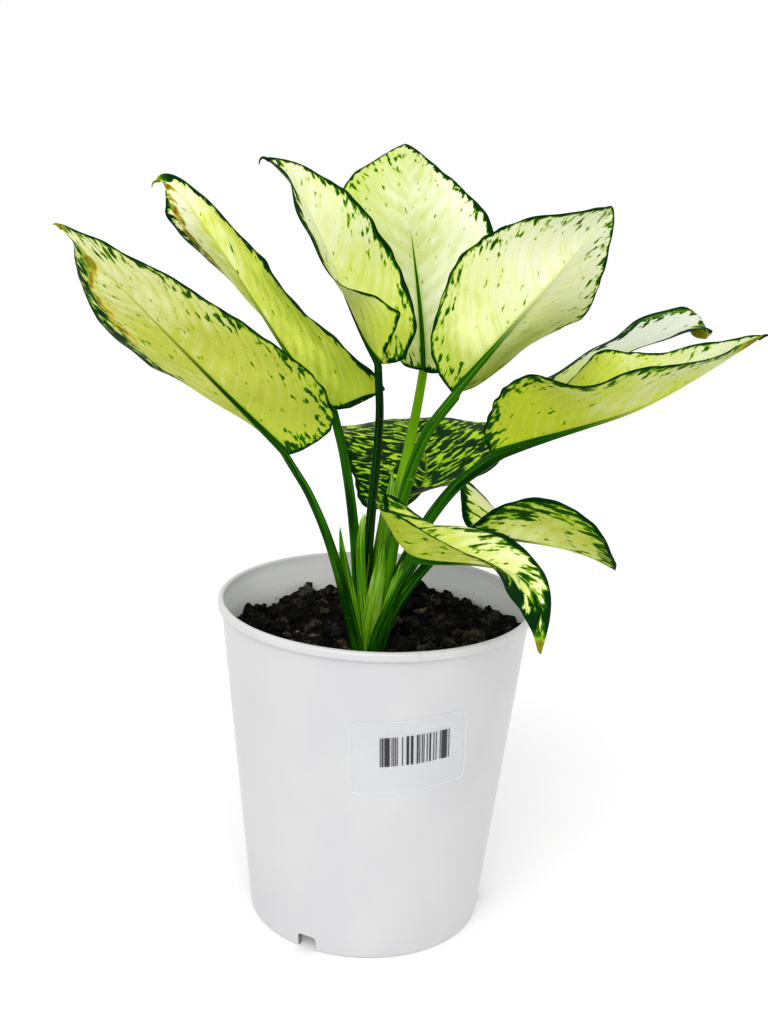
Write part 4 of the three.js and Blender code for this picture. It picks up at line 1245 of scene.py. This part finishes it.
def ball(detail):
    """Corners and triangles of a round ball of unit size."""
    shape = bmesh.new()
    bmesh.ops.create_icosphere(shape, subdivisions=detail, radius=1)
    corners = np.array([corner.co for corner in shape.verts])
    faces = np.array([[corner.index for corner in face.verts] for face in shape.faces])
    shape.free()
    return corners, faces


def lumps_piece(name, count, seed, sizes, stretch, shades):
    """Loose lumps strewn over the soil: rough balls of random size, squeezed and turned at random."""
    draw = np.random.default_rng(seed)
    small, large = ball(2), ball(3)
    corners, faces, shade = [], [], []
    start = 0
    while len(corners) < count:
        radius = STREWN_RADIUS * math.sqrt(draw.uniform())
        angle = draw.uniform(0, 2 * math.pi)
        x, y = radius * math.cos(angle), radius * math.sin(angle)
        size = sizes[0] + (sizes[1] - sizes[0]) * draw.uniform() ** 3
        from_crown = math.hypot(x - CROWN_FOOT[0], y - CROWN_FOOT[1])
        if from_crown < CROWN_CLEAR + size or radius + size > STREWN_EDGE:
            continue
        points, triangles = large if size > LARGE_LUMP else small
        rough = 1 + LUMP_ROUGHNESS * ripples(0.5, draw.integers(1 << 30), *points.T)
        scale = size * np.array(stretch) * draw.uniform(0.7, 1.2, 3)
        spin = Matrix.Rotation(draw.uniform(0, 6.3), 3, "Z")
        turn = np.array(spin @ Matrix.Rotation(draw.normal(0, 0.5), 3, "X"))
        lump = (points * rough[:, None] * scale) @ turn.T
        height = soil_height(np.array([x]), np.array([y]))[0] + 0.25 * scale[2]
        corners.append(lump + [x, y, height])
        faces.append(triangles + start)
        shade.append(np.full(len(points), draw.uniform(*shades)))
        start += len(points)
    faces = np.concatenate(faces).tolist()
    new_piece(name, np.concatenate(corners), faces, soil_material(name), "soil", "soil",
              attributes={"shade": np.concatenate(shade)})


# Stage

def camera():
    data = bpy.data.cameras.new("camera")
    data.lens = CAMERA_LENS
    data.sensor_fit = "HORIZONTAL"
    data.sensor_width = CAMERA_SENSOR
    view = bpy.data.objects.new("camera", data)
    upright = Matrix.Rotation(math.radians(90 + CAMERA_PITCH), 4, "X")
    turned = Matrix.Rotation(math.radians(-CAMERA_YAW), 4, "Z") @ upright
    rolled = turned @ Matrix.Rotation(math.radians(CAMERA_ROLL), 4, "Z")
    view.matrix_world = Matrix.Translation(CAMERA_PLACE) @ rolled
    bpy.context.scene.collection.objects.link(view)
    bpy.context.scene.camera = view


def key_light():
    """Wide soft light from the front, above the camera and a little to its left."""
    data = bpy.data.lights.new("key", "SUN")
    data.energy = KEY_STRENGTH
    data.angle = math.radians(KEY_SPREAD)
    lamp = bpy.data.objects.new("key", data)
    lamp.rotation_euler = (math.radians(90 - KEY_HEIGHT), 0, math.radians(KEY_TURN))
    bpy.context.scene.collection.objects.link(lamp)


def stage():
    """Plain pale floor under plain white light."""
    rim = [[x, y, 0] for x, y in FLOOR_RADIUS * circle(FLOOR_SIDES)]
    floor = plain_object("floor", rim, [[*range(FLOOR_SIDES)]])
    surface = Surface("floor", roughness=0.9, specular=0.1)
    x, y, _ = surface.place()
    surface.set("Base Color", surface.blend(surface.noise(x, y), *FLOOR_GREYS))
    surface.set("Emission Color", WHITE)
    surface.set("Emission Strength", FLOOR_GLOW)
    floor.data.materials.append(surface.material)
    world = bpy.data.worlds.new("studio")
    world.use_nodes = True
    sky = world.node_tree.nodes["Background"]
    sky.inputs["Color"].default_value = (1, 1, 1, 1)
    sky.inputs["Strength"].default_value = WORLD_LIGHT
    bpy.context.scene.world = world
    bpy.context.scene.view_settings.view_transform = "Standard"
    key_light()


camera()
stage()
pot_piece()
sticker_piece()
soil_bed_piece()
lumps_piece("soil_clods", CLODS, 21, (0.0007, 0.0034), (1, 0.85, 0.7), (0, 0.65))
lumps_piece("soil_chips", CHIPS, 22, (0.0009, 0.002), (2, 0.8, 0.4), (0.75, 1))
crown_piece()
for leaf_name, leaf_data in LEAVES.items():
    blade_piece(leaf_name, leaf_data)
    stalk_piece(leaf_name, leaf_data)
